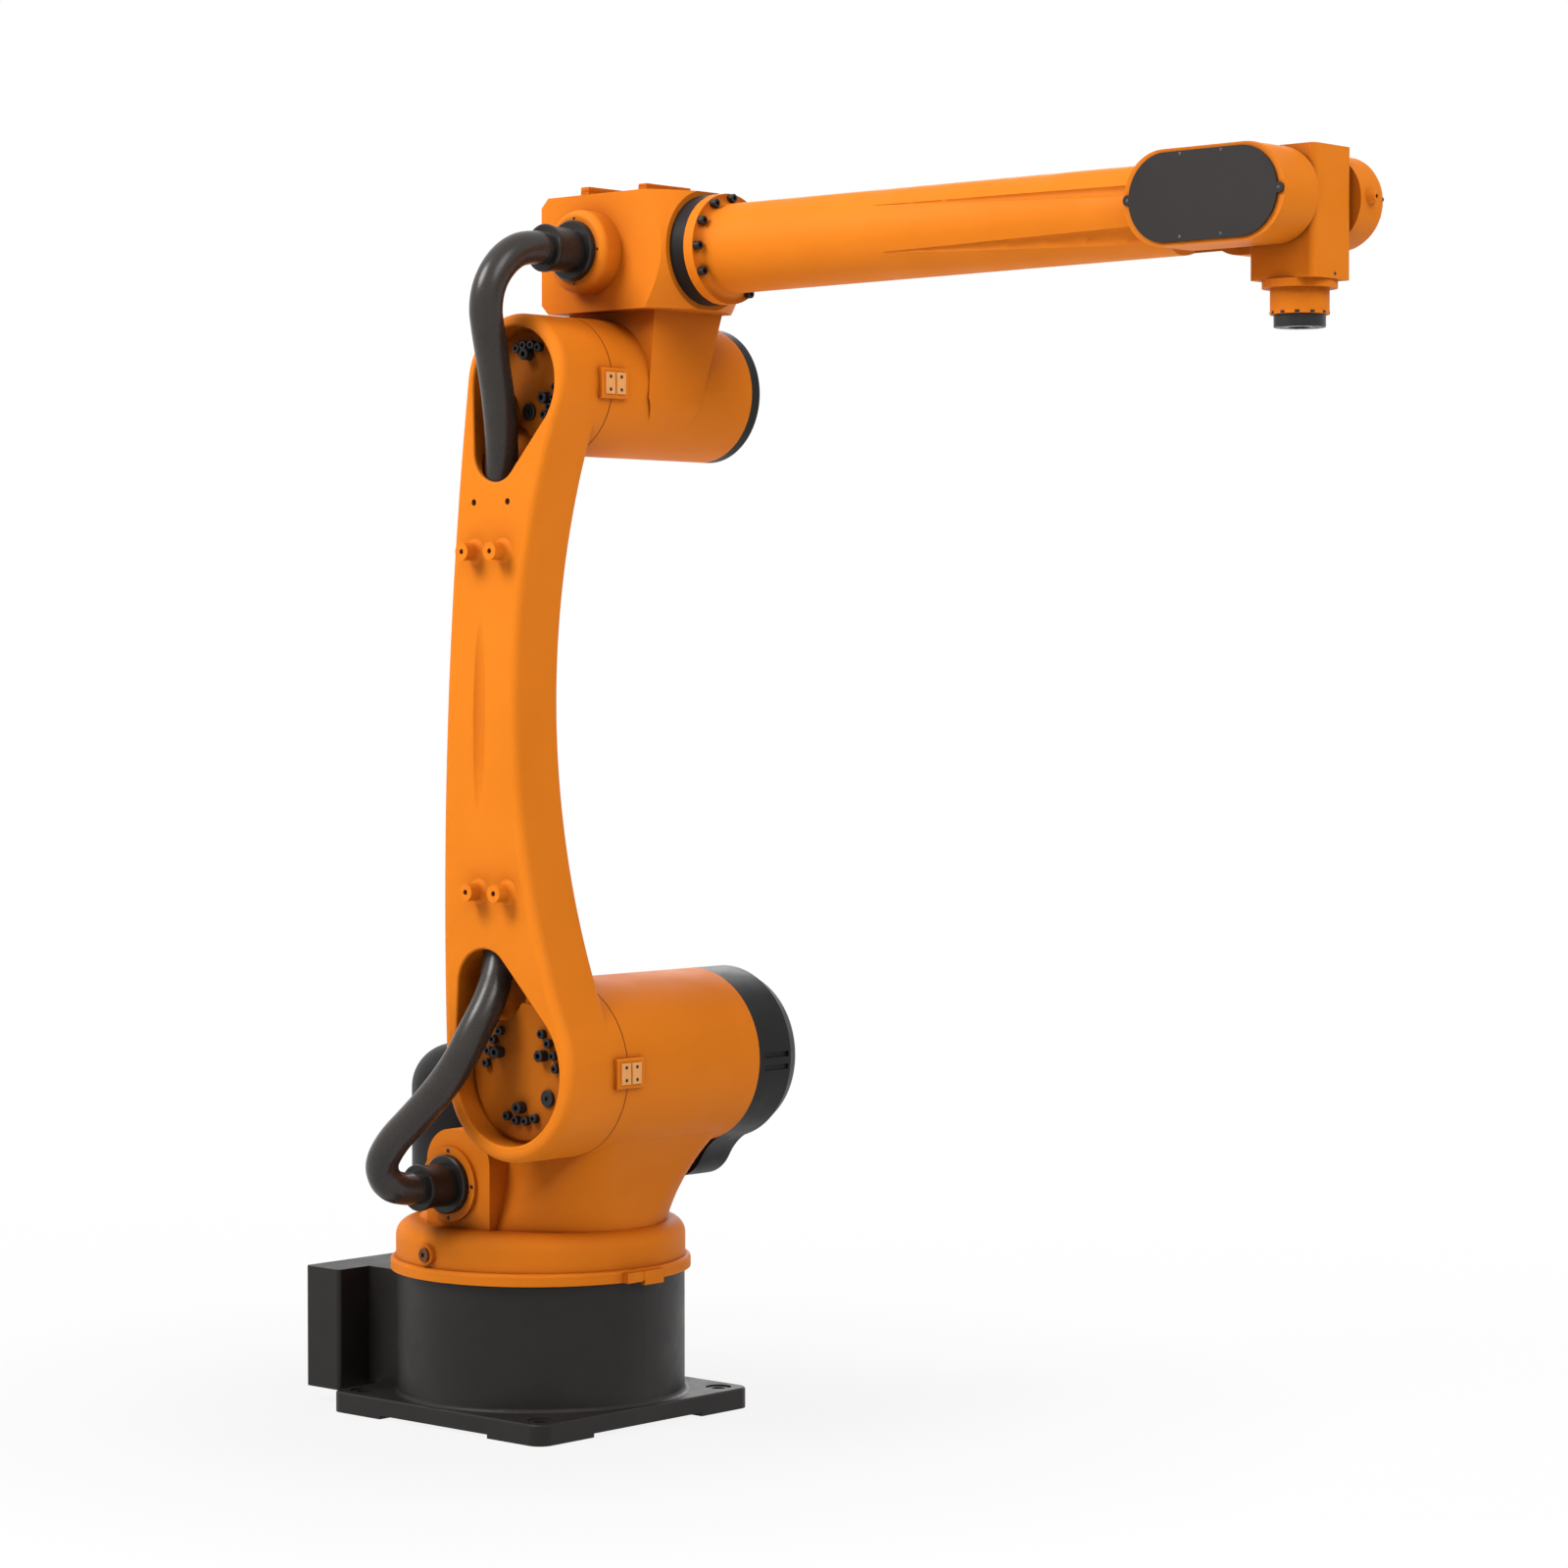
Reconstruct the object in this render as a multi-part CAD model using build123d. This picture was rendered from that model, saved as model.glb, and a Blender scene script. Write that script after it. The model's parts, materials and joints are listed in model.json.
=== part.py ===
"""Six-axis industrial robot arm in its upright pose: forearm level, tool flange facing the floor.

Millimetres. +Z is up, +X runs forward along the forearm, +Y is the robot's left.
The origin lies on the first axis at floor level.
"""
from build123d import *
from math import cos, hypot, radians, sin, tan
import os

# Axes of the six joints
SHOULDER_X = 165.0
SHOULDER_Z = 470.0
LOWER_ARM_LENGTH = 860.0
ELBOW_RISE = 170.0
FOREARM_REACH = 1038.0
ELBOW_Z = SHOULDER_Z + LOWER_ARM_LENGTH
FOREARM_Z = ELBOW_Z + ELBOW_RISE
WRIST_X = SHOULDER_X + FOREARM_REACH

# Clearances, overlaps of fused features and broken edges
BEARING_GAP = 0.3
RUNNING_GAP = 5.0
POCKET_GAP = 0.3
SEAM_GAP = 2.0
ROOT = 1.0
EDGE_BREAK = 2.0

# Foot plate and base drum
PLATE_SIDE = 392.0
PLATE_THICK = 27.0
PLATE_CORNER = 20.0
PAD_SIDE = 96.0
PAD_RELIEF = 5.0
RELIEF_DEPTH = 40.0
FOOT_BOLT_SPACING = 330.0
FOOT_BOLT_R = 9.0
SPOT_FACE_R = 17.0
SPOT_FACE_DEPTH = 2.0
DRUM_R = 189.0
DRUM_TOP = 188.0
DRUM_FOOT_FILLET = 6.0
TURNTABLE_BEARING_R = 150.0
TURNTABLE_Z = DRUM_TOP + SEAM_GAP

# Rear neck and connector box
NECK_HALF_WIDTH = 109.0
BOX_FRONT_X = -215.0
BOX_LENGTH = 66.0
BOX_HALF_WIDTH = 162.0
BOX_BOTTOM = 20.0
BOX_HEIGHT = 160.0
BOX_EDGE = 6.0
PANEL_THICK = 4.0
PANEL_MARGIN = 14.0
HOOD_WIDTH = 84.0
HOOD_HEIGHT = 44.0
HOOD_DEPTH = 24.0
HOOD_BEVEL = 4.0
HOOD_SPACING = 130.0
BOX_REAR_X = BOX_FRONT_X - BOX_LENGTH
NECK_TOP_Z = BOX_BOTTOM + BOX_HEIGHT

# Turntable: rim, ring, pedestal and shoulder housing
RIM_R = 197.0
RIM_HEIGHT = 16.0
RIM_EDGE = 5.0
RING_R = 190.0
RING_HEIGHT = 65.0
RING_SHOULDER = 22.0
RING_TOP = TURNTABLE_Z + RING_HEIGHT
PEDESTAL_HALF_X = 173.0
PEDESTAL_HALF_Y = 140.0
PEDESTAL_ROOT = 5.0
WAIST_RISE = 55.0
WAIST_BACK = 80.0
WAIST_FRONT = 185.0
WAIST_HALF_Y = 120.0
WAIST_CORNER = 70.0
CROWN_DROP = 70.0
CROWN_BACK = 88.0
CROWN_FRONT = 88.0
CROWN_INSET = 3.0
CROWN_CORNER = 20.0
HOUSING_R = 113.0
HOUSING_HALF = 122.0
GREASE_BOSS_R = 13.0
GREASE_BOSS_PROUD = 6.0
GREASE_BOSS_ROOT = 20.0
GREASE_BOSS_ANGLE = -94.0

# First-axis zero mark: a pad on the rim and a tongue that hangs below it
RIM_PAD_Y = (-44.0, -17.0)
RIM_TONGUE_Y = (-13.0, 22.0)
RIM_MARK_PROUD = 5.0
RIM_MARK_ROOT = 8.0
RIM_TONGUE_ROOT = 2.0
RIM_MARK_HEIGHT = 13.0
RIM_TONGUE_DROP = 5.0

# Hose outlet on the turntable
OUTLET_X = -13.0
OUTLET_Z = 310.0
OUTLET_FACE_Y = -150.0
OUTLET_ROOT_Y = -60.0
OUTLET_BLOCK_X = 0.0
OUTLET_HALF_WIDTH = 58.0
OUTLET_RISE = 71.0
OUTLET_CORNER = 45.0
OUTLET_PLATE_R = 48.5
OUTLET_PLATE_THICK = 5.0
OUTLET_TOP = OUTLET_Z + OUTLET_RISE

# Hoses and their glands
HOSE_R = 21.0
GLAND_FLANGE_R = 38.0
GLAND_FLANGE_THICK = 9.0
GLAND_SLEEVE_R = 28.0
GLAND_SLEEVE_LENGTH = 46.0
GLAND_LENGTH = GLAND_FLANGE_THICK + GLAND_SLEEVE_LENGTH

# Motor covers
SHOULDER_COVER_LENGTH = 60.0
COVER_NOSE_LENGTH = 20.0
COVER_NOSE_INSET = 10.0
COVER_SLOT_HEIGHT = 7.0
COVER_SLOT_DEPTH = 4.0
COVER_SLOT_SEAT = 10.0
COVER_SLOT_LENGTH = 46.0
COVER_SLOT_RISES = (4.0, -12.5)
LOBE_DX = -35.0
LOBE_DZ = -113.0
LOBE_R = 50.0
LOBE_BLEND = 80.0
LOBE_EDGE = 8.0
TURN_MOTOR_X = -130.0
TURN_MOTOR_R = 80.0
TURN_MOTOR_HEIGHT = 220.0
TURN_MOTOR_DOME = 58.0

# Lower arm: a slab on the -Y side of both housings, thinner towards the elbow
ARM_STANDOFF = 13.0
ARM_THICK_LOW = 89.0
ARM_THICK_HIGH = 75.0
ARM_FRONT_RADIUS = 950.0
ARM_BACK_RADIUS = 5000.0
ARM_EDGE = 12.0
RIM_ROUND = 3.0
SHOULDER_POCKET_R = 92.0
SHOULDER_POCKET_DEPTH = 35.0
SHOULDER_MOUTH_BACK = 43.0
SHOULDER_MOUTH_RISE = 107.0
SHOULDER_MOUTH_R = 46.0
ELBOW_POCKET_R = 71.0
ELBOW_POCKET_DEPTH = 36.0
ELBOW_MOUTH_BACK = 31.0
ELBOW_MOUTH_DROP = 85.0
ELBOW_MOUTH_R = 37.0
CHANNEL_BACK = 48.0
CHANNEL_COVER = 49.0
CHANNEL_R = 24.0
GROOVE_BACK = 55.0
GROOVE_RISE = 443.0
GROOVE_LENGTH = 420.0
GROOVE_SPINDLE_R = 14.0
GROOVE_DEPTH = 5.0
REDUCER_FACE_THICK = 6.0
REDUCER_FACE_MARGIN = 6.0
BOSS_PAIR_SPACING = 50.0
LOW_BOSS_BACK = 27.0
LOW_BOSS_RISE = 225.0
HIGH_BOSS_BACK = 40.0
HIGH_BOSS_DROP = 209.0
BOSS_R = 11.0
BOSS_LENGTH = 24.0
BOSS_HOLE_R = 3.4
BOSS_HOLE_DEPTH = 18.0
ARM_TAP_BACK = 38.0
ARM_TAP_DROP = 147.0
ARM_TAP_SPACING = 60.0
ARM_TAP_R = 4.2
ARM_TAP_DEPTH = 10.0

# Zero marks across the shoulder and elbow seams
MARK_WIDTH = 24.0
MARK_HEIGHT = 38.0
MARK_PROUD = 5.0
MARK_ROOT = 12.0

# Elbow housing
ELBOW_HOUSING_R = 87.0
ELBOW_HOUSING_END = 136.0
ELBOW_CAP_THICK = 20.0
ELBOW_CAP_EDGE = 5.0
ELBOW_BOX_BACK = 80.0
ELBOW_BOX_HALF_Y = 80.0
ELBOW_BOX_HALF_Z = 74.0
ELBOW_BOX_CHAMFER = 12.0
NOSE_R = 76.0
NOSE_LENGTH = 40.0
WEB_TOP_Y = (-50.0, 75.0)
WEB_LOW_Y = (-58.0, 40.0)
WEB_DROP = 15.0
WEB_BACK = 60.0
WEB_FRONT_TOP = 91.0
WEB_FRONT_LOW = 88.0
HOSE_BOSS_AHEAD = 10.0
HOSE_BOSS_R = 52.0
HOSE_BOSS_FACE_Y = -112.0
HOSE_BOSS_EDGE = 10.0
SEAL_AHEAD = 135.0
SEAL_R = 69.0
SEAL_THICK = 23.0
TOP_COVER_LENGTH = 14.0
TOP_COVER_WIDTH = 82.0
TOP_COVER_HEIGHT = 12.0
REAR_TOP_COVER_BACK = 41.0
FRONT_TOP_COVER_AHEAD = 61.0
REAR_COVER_THICK = 6.0
REAR_COVER_MARGIN = 16.0
REAR_COVER_CORNER = 10.0
HOSE_BOSS_X = SHOULDER_X + HOSE_BOSS_AHEAD
SEAL_BACK_X = SHOULDER_X + SEAL_AHEAD
FOREARM_ROOT_X = SEAL_BACK_X + SEAL_THICK + BEARING_GAP

# Forearm: flange, tapered tube with two flutes, belt housing and far arm
FLANGE_R = 69.0
FLANGE_THICK = 15.0
FLANGE_FILLET = 8.0
TUBE_ROOT_R = 56.0
TUBE_TIP_R = 53.0
FORK_DEPTH = 97.0
FORK_HALF_GAP = 42.0
SCOOP_R = 70.0
SCOOP_DROP = 80.0
SCOOP_FAR_Y = 20.0
BELT_CENTRES = 112.0
BELT_HOUSING_R = 54.0
BELT_FACE_Y = -106.0
BELT_COVER_MARGIN = 4.0
BELT_COVER_INSET = 5.0
COVER_LUG_R = 6.0
COVER_LUG_OUT = 2.0
BELT_COVER_THICK = 3.0
FAR_ARM_R = 53.0
FAR_ARM_Y = 84.0
FAR_CAP_R = 51.0
FAR_CAP_THICK = 8.0
FAR_CAP_EDGE = 4.0
FLUTE_TIP_R = 0.5
LOW_FLUTE_START = 468.0
LOW_FLUTE_ANGLES = (-29.0, -38.0)
LOW_FLUTE_R = 18.0
LOW_FLUTE_DEPTH = 9.0
HIGH_FLUTE_START = 453.0
HIGH_FLUTE_ANGLES = (34.0, 19.0)
HIGH_FLUTE_R = 10.5
HIGH_FLUTE_DEPTH = 5.0
BELT_REAR_X = WRIST_X - BELT_CENTRES
TUBE_END_X = WRIST_X - FORK_DEPTH

# Wrist and tool flange
WRIST_HALF_X = 44.5
WRIST_HALF_Y = FORK_HALF_GAP - RUNNING_GAP
WRIST_RISE = 56.0
WRIST_DROP = 91.5
WRIST_EDGE = 8.0
WRIST_HUB_R = 36.0
NECK_RING_R = 42.3
NECK_RING_HEIGHT = 9.0
REDUCER_R = 33.2
REDUCER_HEIGHT = 29.0
TOOL_R = 29.3
TOOL_THICK = 14.0
TOOL_BORE_R = 12.5
TOOL_BORE_DEPTH = 6.0
TOOL_PCD = 40.0
TOOL_HOLE_R = 2.5
TOOL_HOLE_DEPTH = 10.0
TOOL_PIN_R = 3.0
NECK_RING_TOP = FOREARM_Z - WRIST_DROP
REDUCER_TOP = NECK_RING_TOP - NECK_RING_HEIGHT
TOOL_TOP = REDUCER_TOP - REDUCER_HEIGHT - BEARING_GAP

# Places that the arm's pieces share
ARM_SEAM_Y = -HOUSING_HALF - BEARING_GAP
ARM_FAR_Y = -HOUSING_HALF - ARM_STANDOFF
SHOULDER_MOUTH = (SHOULDER_X - SHOULDER_MOUTH_BACK, SHOULDER_Z + SHOULDER_MOUTH_RISE, SHOULDER_MOUTH_R)
ELBOW_MOUTH = (SHOULDER_X - ELBOW_MOUTH_BACK, ELBOW_Z - ELBOW_MOUTH_DROP, ELBOW_MOUTH_R)
CHANNEL_X = SHOULDER_X - CHANNEL_BACK
CHANNEL_Y = ARM_FAR_Y - CHANNEL_COVER

BOTTOM = (Align.CENTER, Align.CENTER, Align.MIN)


def rod_x(y, z, radius, x_low, x_high):
    return Pos(x_low, y, z) * Rot(0, 90, 0) * Cylinder(radius, x_high - x_low, align=BOTTOM)


def rod_y(x, z, radius, y_low, y_high):
    return Pos(x, y_low, z) * Rot(-90, 0, 0) * Cylinder(radius, y_high - y_low, align=BOTTOM)


def rod_z(x, y, radius, z_low, z_high):
    return Pos(x, y, z_low) * Cylinder(radius, z_high - z_low, align=BOTTOM)


def block(x_low, x_high, y_low, y_high, z_low, z_high):
    size = (x_high - x_low, y_high - y_low, z_high - z_low)
    centre = Pos((x_low + x_high) / 2, (y_low + y_high) / 2, (z_low + z_high) / 2)
    return centre * Box(*size)


def slab_y(outline, y_low, y_high):
    """An outline drawn in X and Z, given thickness along Y."""
    return Pos(0, y_high, 0) * extrude(Plane.XZ * outline, amount=y_high - y_low)


def edges_at_y(solid, y):
    return solid.edges().filter_by_position(Axis.Y, y - 0.01, y + 0.01)


def egg(x1, z1, r1, x2, z2, r2):
    """The outline of two circles with the straight tangents that wrap them."""
    circles = [Pos(x1, z1) * Circle(r1), Pos(x2, z2) * Circle(r2)]
    return make_hull([edge for circle in circles for edge in circle.edges()])


def stadium(x_low, x_high, z, radius):
    """A level slot outline between two equal round ends."""
    length = x_high - x_low + 2 * radius
    return Pos((x_low + x_high) / 2, z) * SlotOverall(length, 2 * radius)


def blend_side(centre_1, r1, centre_2, r2, radius, side):
    """Start, middle and end of the arc that touches two circles, its centre left (1) or right (-1) of 1 to 2.

    The arc is hollow between the circles; with both radii negative it swells around them.
    """
    one = Vector(*centre_1)
    two = Vector(*centre_2)
    axis = (two - one).normalized()
    span = (two - one).length
    along = ((radius + r1) ** 2 - (radius + r2) ** 2 + span ** 2) / (2 * span)
    out = side * ((radius + r1) ** 2 - along ** 2) ** 0.5
    centre = one + axis * along + Vector(-axis.Y, axis.X) * out
    to_one = (one - centre).normalized()
    to_two = (two - centre).normalized()
    to_middle = (to_one + to_two).normalized()
    return tuple(centre + direction * radius for direction in (to_one, to_middle, to_two))


def hollow_ring(radius, size):
    """The hollow ring that blends a post of the given radius along Z into a flat face at Z = 0."""
    inner = radius - ROOT
    outer = radius + size
    turn = size * (1 - cos(radians(45)))
    profile = make_face([
        Line((inner, -ROOT), (outer, -ROOT)),
        Line((outer, -ROOT), (outer, 0)),
        ThreePointArc((outer, 0), (radius + turn, turn), (radius, size)),
        Line((radius, size), (inner, size)),
        Line((inner, size), (inner, -ROOT)),
    ])
    return revolve(Plane.XZ * profile, axis=Axis.Z)


# Base

def make_base_casting():
    plate = extrude(RectangleRounded(PLATE_SIDE, PLATE_SIDE, PLATE_CORNER), PLATE_THICK)
    plate = chamfer(plate.edges().group_by(Axis.Z)[-1], EDGE_BREAK)
    relief_length = PLATE_SIDE - 2 * PAD_SIDE
    reach = PLATE_SIDE / 2
    for turn in range(4):
        notch = block(reach - RELIEF_DEPTH, reach + ROOT, -relief_length / 2, relief_length / 2, -ROOT, PAD_RELIEF)
        plate -= Rot(0, 0, 90 * turn) * notch
    drum = rod_z(0, 0, DRUM_R, PLATE_THICK - ROOT, DRUM_TOP)
    neck = block(BOX_FRONT_X, 0, -NECK_HALF_WIDTH, NECK_HALF_WIDTH, PLATE_THICK - ROOT, NECK_TOP_Z)
    bearing = rod_z(0, 0, TURNTABLE_BEARING_R, DRUM_TOP - ROOT, TURNTABLE_Z - BEARING_GAP)
    foot = Pos(0, 0, PLATE_THICK) * hollow_ring(DRUM_R, DRUM_FOOT_FILLET)
    casting = plate + drum + foot + neck + bearing
    half = FOOT_BOLT_SPACING / 2
    for x in (-half, half):
        for y in (-half, half):
            casting -= rod_z(x, y, FOOT_BOLT_R, -ROOT, PLATE_THICK + ROOT)
            casting -= rod_z(x, y, SPOT_FACE_R, PLATE_THICK - SPOT_FACE_DEPTH, PLATE_THICK + ROOT)
    return casting


def make_connector_box():
    box = block(BOX_REAR_X, BOX_FRONT_X, -BOX_HALF_WIDTH, BOX_HALF_WIDTH, BOX_BOTTOM, NECK_TOP_Z)
    return fillet(box.edges().filter_by(Axis.Z), BOX_EDGE)


def make_connector_panel():
    half = BOX_HALF_WIDTH - PANEL_MARGIN
    low = BOX_BOTTOM + PANEL_MARGIN
    high = NECK_TOP_Z - PANEL_MARGIN
    panel = block(BOX_REAR_X - PANEL_THICK, BOX_REAR_X, -half, half, low, high)
    return fillet(panel.edges().filter_by(Axis.X), BOX_EDGE)


def make_connector_hoods():
    """Two closed plug hoods side by side on the panel."""
    face = BOX_REAR_X - PANEL_THICK
    middle = BOX_BOTTOM + BOX_HEIGHT / 2
    hoods = []
    for y in (-HOOD_SPACING / 2, HOOD_SPACING / 2):
        hood = block(face - HOOD_DEPTH, face, y - HOOD_WIDTH / 2, y + HOOD_WIDTH / 2,
                     middle - HOOD_HEIGHT / 2, middle + HOOD_HEIGHT / 2)
        hood = fillet(hood.edges().filter_by(Axis.X), BOX_EDGE)
        hoods.append(chamfer(hood.edges().group_by(Axis.X)[0], HOOD_BEVEL))
    return Compound(children=hoods)


# Turntable

def rounded_section(x_low, x_high, half_width, corner, z):
    centre = (x_low + x_high) / 2
    return Pos(centre, 0, z) * RectangleRounded(x_high - x_low, 2 * half_width, corner)


def make_pedestal():
    """From a round foot on the ring through a waist to the crown that carries the shoulder housing."""
    foot = rounded_section(-PEDESTAL_HALF_X, PEDESTAL_HALF_X, PEDESTAL_HALF_Y, PEDESTAL_HALF_Y - ROOT,
                           RING_TOP - PEDESTAL_ROOT)
    waist = rounded_section(-WAIST_BACK, WAIST_FRONT, WAIST_HALF_Y, WAIST_CORNER, RING_TOP + WAIST_RISE)
    crown = rounded_section(SHOULDER_X - CROWN_BACK, SHOULDER_X + CROWN_FRONT, HOUSING_HALF - CROWN_INSET,
                            CROWN_CORNER, SHOULDER_Z - CROWN_DROP)
    return loft([foot, waist, crown])


def make_outlet_block():
    """A block with a round top, standing on the ring, that the hose comes out of."""
    height = OUTLET_TOP - TURNTABLE_Z
    outline = Pos(OUTLET_BLOCK_X, OUTLET_TOP - height / 2) * RectangleRounded(
        2 * OUTLET_HALF_WIDTH, height, OUTLET_CORNER)
    room = block(OUTLET_BLOCK_X - OUTLET_HALF_WIDTH, OUTLET_BLOCK_X + OUTLET_HALF_WIDTH,
                 OUTLET_FACE_Y, OUTLET_ROOT_Y, RING_TOP - ROOT, OUTLET_TOP)
    return slab_y(outline, OUTLET_FACE_Y, OUTLET_ROOT_Y) & room


def make_rim_mark():
    top = TURNTABLE_Z + RIM_MARK_HEIGHT
    face = RIM_R + RIM_MARK_PROUD
    pad = block(RIM_R - RIM_MARK_ROOT, face, *RIM_PAD_Y, TURNTABLE_Z, top)
    tongue = block(RIM_R - RIM_TONGUE_ROOT, face, *RIM_TONGUE_Y, TURNTABLE_Z - RIM_TONGUE_DROP, top)
    return pad, tongue


def make_turntable_casting():
    rim = rod_z(0, 0, RIM_R, TURNTABLE_Z, TURNTABLE_Z + RIM_HEIGHT)
    rim = fillet(rim.edges().group_by(Axis.Z)[-1], RIM_EDGE)
    ring = rod_z(0, 0, RING_R, TURNTABLE_Z + ROOT, RING_TOP)
    ring = fillet(ring.edges().group_by(Axis.Z)[-1], RING_SHOULDER)
    housing = rod_y(SHOULDER_X, SHOULDER_Z, HOUSING_R, -HOUSING_HALF, HOUSING_HALF)
    boss = Rot(0, 0, GREASE_BOSS_ANGLE) * rod_x(0, TURNTABLE_Z + RING_HEIGHT / 2, GREASE_BOSS_R,
                                                RING_R - GREASE_BOSS_ROOT, RING_R + GREASE_BOSS_PROUD)
    casting = rim + ring + make_pedestal() + housing + make_outlet_block() + boss
    for piece in make_rim_mark():
        casting += piece
    motor_room = rod_z(TURN_MOTOR_X, 0, TURN_MOTOR_R + POCKET_GAP, RING_TOP, RING_TOP + 2 * TURN_MOTOR_HEIGHT)
    return casting - motor_room


def make_turn_motor_cover():
    cover = rod_z(TURN_MOTOR_X, 0, TURN_MOTOR_R, RING_TOP, RING_TOP + TURN_MOTOR_HEIGHT)
    return fillet(cover.edges().group_by(Axis.Z)[-1], TURN_MOTOR_DOME)


def make_shoulder_motor_cover():
    main = (SHOULDER_X, SHOULDER_Z)
    lobe = (SHOULDER_X + LOBE_DX, SHOULDER_Z + LOBE_DZ)
    front = blend_side(main, HOUSING_R, lobe, LOBE_R, LOBE_BLEND, 1)
    back = blend_side(main, HOUSING_R, lobe, LOBE_R, LOBE_BLEND, -1)
    away = hypot(LOBE_DX, LOBE_DZ)
    crown = (main[0] - HOUSING_R * LOBE_DX / away, main[1] - HOUSING_R * LOBE_DZ / away)
    heel = (lobe[0] + LOBE_R * LOBE_DX / away, lobe[1] + LOBE_R * LOBE_DZ / away)
    outline = make_face([
        ThreePointArc(*front),
        ThreePointArc(front[2], heel, back[2]),
        ThreePointArc(*reversed(back)),
        ThreePointArc(back[0], crown, front[0]),
    ])
    end = HOUSING_HALF + SHOULDER_COVER_LENGTH
    lobed = slab_y(outline, HOUSING_HALF, end)
    lobed = fillet(edges_at_y(lobed, end), LOBE_EDGE)
    drum = rod_y(*main, HOUSING_R, HOUSING_HALF, end)
    nose = Pos(SHOULDER_X, end, SHOULDER_Z) * Rot(-90, 0, 0) * Cone(
        HOUSING_R, HOUSING_R - COVER_NOSE_INSET, COVER_NOSE_LENGTH, align=BOTTOM)
    cover = lobed + drum + nose
    front = SHOULDER_X + HOUSING_R
    seat = HOUSING_HALF + COVER_SLOT_SEAT
    for rise in COVER_SLOT_RISES:
        middle = SHOULDER_Z + rise
        cover -= block(front - COVER_SLOT_DEPTH, front + ROOT, seat, seat + COVER_SLOT_LENGTH,
                       middle - COVER_SLOT_HEIGHT / 2, middle + COVER_SLOT_HEIGHT / 2)
    return cover


def make_outlet_plate():
    return rod_y(OUTLET_X, OUTLET_Z, OUTLET_PLATE_R, OUTLET_FACE_Y - OUTLET_PLATE_THICK, OUTLET_FACE_Y)


def make_gland(x, z, face_y):
    """Hose gland that points along -Y: a round flange and the sleeve that grips the hose."""
    collar = face_y - GLAND_FLANGE_THICK
    flange = rod_y(x, z, GLAND_FLANGE_R, collar, face_y)
    flange = chamfer(edges_at_y(flange, collar), EDGE_BREAK)
    sleeve = rod_y(x, z, GLAND_SLEEVE_R, face_y - GLAND_LENGTH, collar + ROOT)
    sleeve = chamfer(edges_at_y(sleeve, face_y - GLAND_LENGTH), EDGE_BREAK)
    return flange + sleeve


def make_zero_mark(z, radius, y_low, y_high):
    """A square pad that seats on the front of a housing of the given radius on the shoulder or elbow axis."""
    pad = block(SHOULDER_X + radius - MARK_ROOT, SHOULDER_X + radius + MARK_PROUD, y_low, y_high,
                z - MARK_HEIGHT / 2, z + MARK_HEIGHT / 2)
    pad = pad - rod_y(SHOULDER_X, z, radius + POCKET_GAP, y_low - ROOT, y_high + ROOT)
    return chamfer(pad.edges().filter_by(Axis.Y).group_by(Axis.X)[-1], EDGE_BREAK)


# Lower arm

def arm_near_y(z):
    """The arm's near face leans, so that the arm is thicker at the shoulder than at the elbow."""
    share = (z - SHOULDER_Z) / LOWER_ARM_LENGTH
    return ARM_FAR_Y - ARM_THICK_LOW - share * (ARM_THICK_HIGH - ARM_THICK_LOW)


def arm_near_plane():
    """The leaning near face: local x forward, local y up along the arm, local z outwards."""
    lean = ARM_THICK_HIGH - ARM_THICK_LOW
    return Plane(origin=(0, arm_near_y(SHOULDER_Z), SHOULDER_Z), x_dir=(1, 0, 0),
                 z_dir=(0, -LOWER_ARM_LENGTH, -lean))


def arm_outline():
    """Shoulder and elbow circles joined by a hollow front and a gently bowed back."""
    shoulder = (SHOULDER_X, SHOULDER_Z)
    elbow = (SHOULDER_X, ELBOW_Z)
    front = blend_side(shoulder, HOUSING_R, elbow, ELBOW_HOUSING_R, ARM_FRONT_RADIUS, -1)
    back = blend_side(shoulder, -HOUSING_R, elbow, -ELBOW_HOUSING_R, ARM_BACK_RADIUS, -1)
    bottom = (SHOULDER_X, SHOULDER_Z - HOUSING_R)
    top = (SHOULDER_X, ELBOW_Z + ELBOW_HOUSING_R)
    return make_face([
        ThreePointArc(front[0], bottom, back[0]),
        ThreePointArc(*back),
        ThreePointArc(back[2], top, front[2]),
        ThreePointArc(*reversed(front)),
    ])


def make_arm_blank():
    """The arm's outline between the leaning near face and the far face, with both rims rounded."""
    blank = slab_y(arm_outline(), arm_near_y(SHOULDER_Z - 2 * HOUSING_R), ARM_FAR_Y)
    blank = split(blank, bisect_by=arm_near_plane(), keep=Keep.BOTTOM)
    blank = fillet(blank.faces().sort_by(Axis.Y)[0].edges(), ARM_EDGE)
    return fillet(edges_at_y(blank, ARM_FAR_Y), ARM_EDGE)


def hose_room():
    """The hollow inside the arm that the hose runs through, with a deep mouth in each pocket."""
    far = CHANNEL_Y + CHANNEL_R
    outside = arm_near_y(SHOULDER_Z) - ARM_EDGE
    channel = rod_z(CHANNEL_X, CHANNEL_Y, CHANNEL_R, SHOULDER_MOUTH[1], ELBOW_MOUTH[1])
    return [channel] + [rod_y(*mouth, outside, far) for mouth in (SHOULDER_MOUTH, ELBOW_MOUTH)]


def shoulder_floor_y():
    return arm_near_y(SHOULDER_Z) + SHOULDER_POCKET_DEPTH


def elbow_floor_y():
    return arm_near_y(ELBOW_Z) + ELBOW_POCKET_DEPTH


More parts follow.
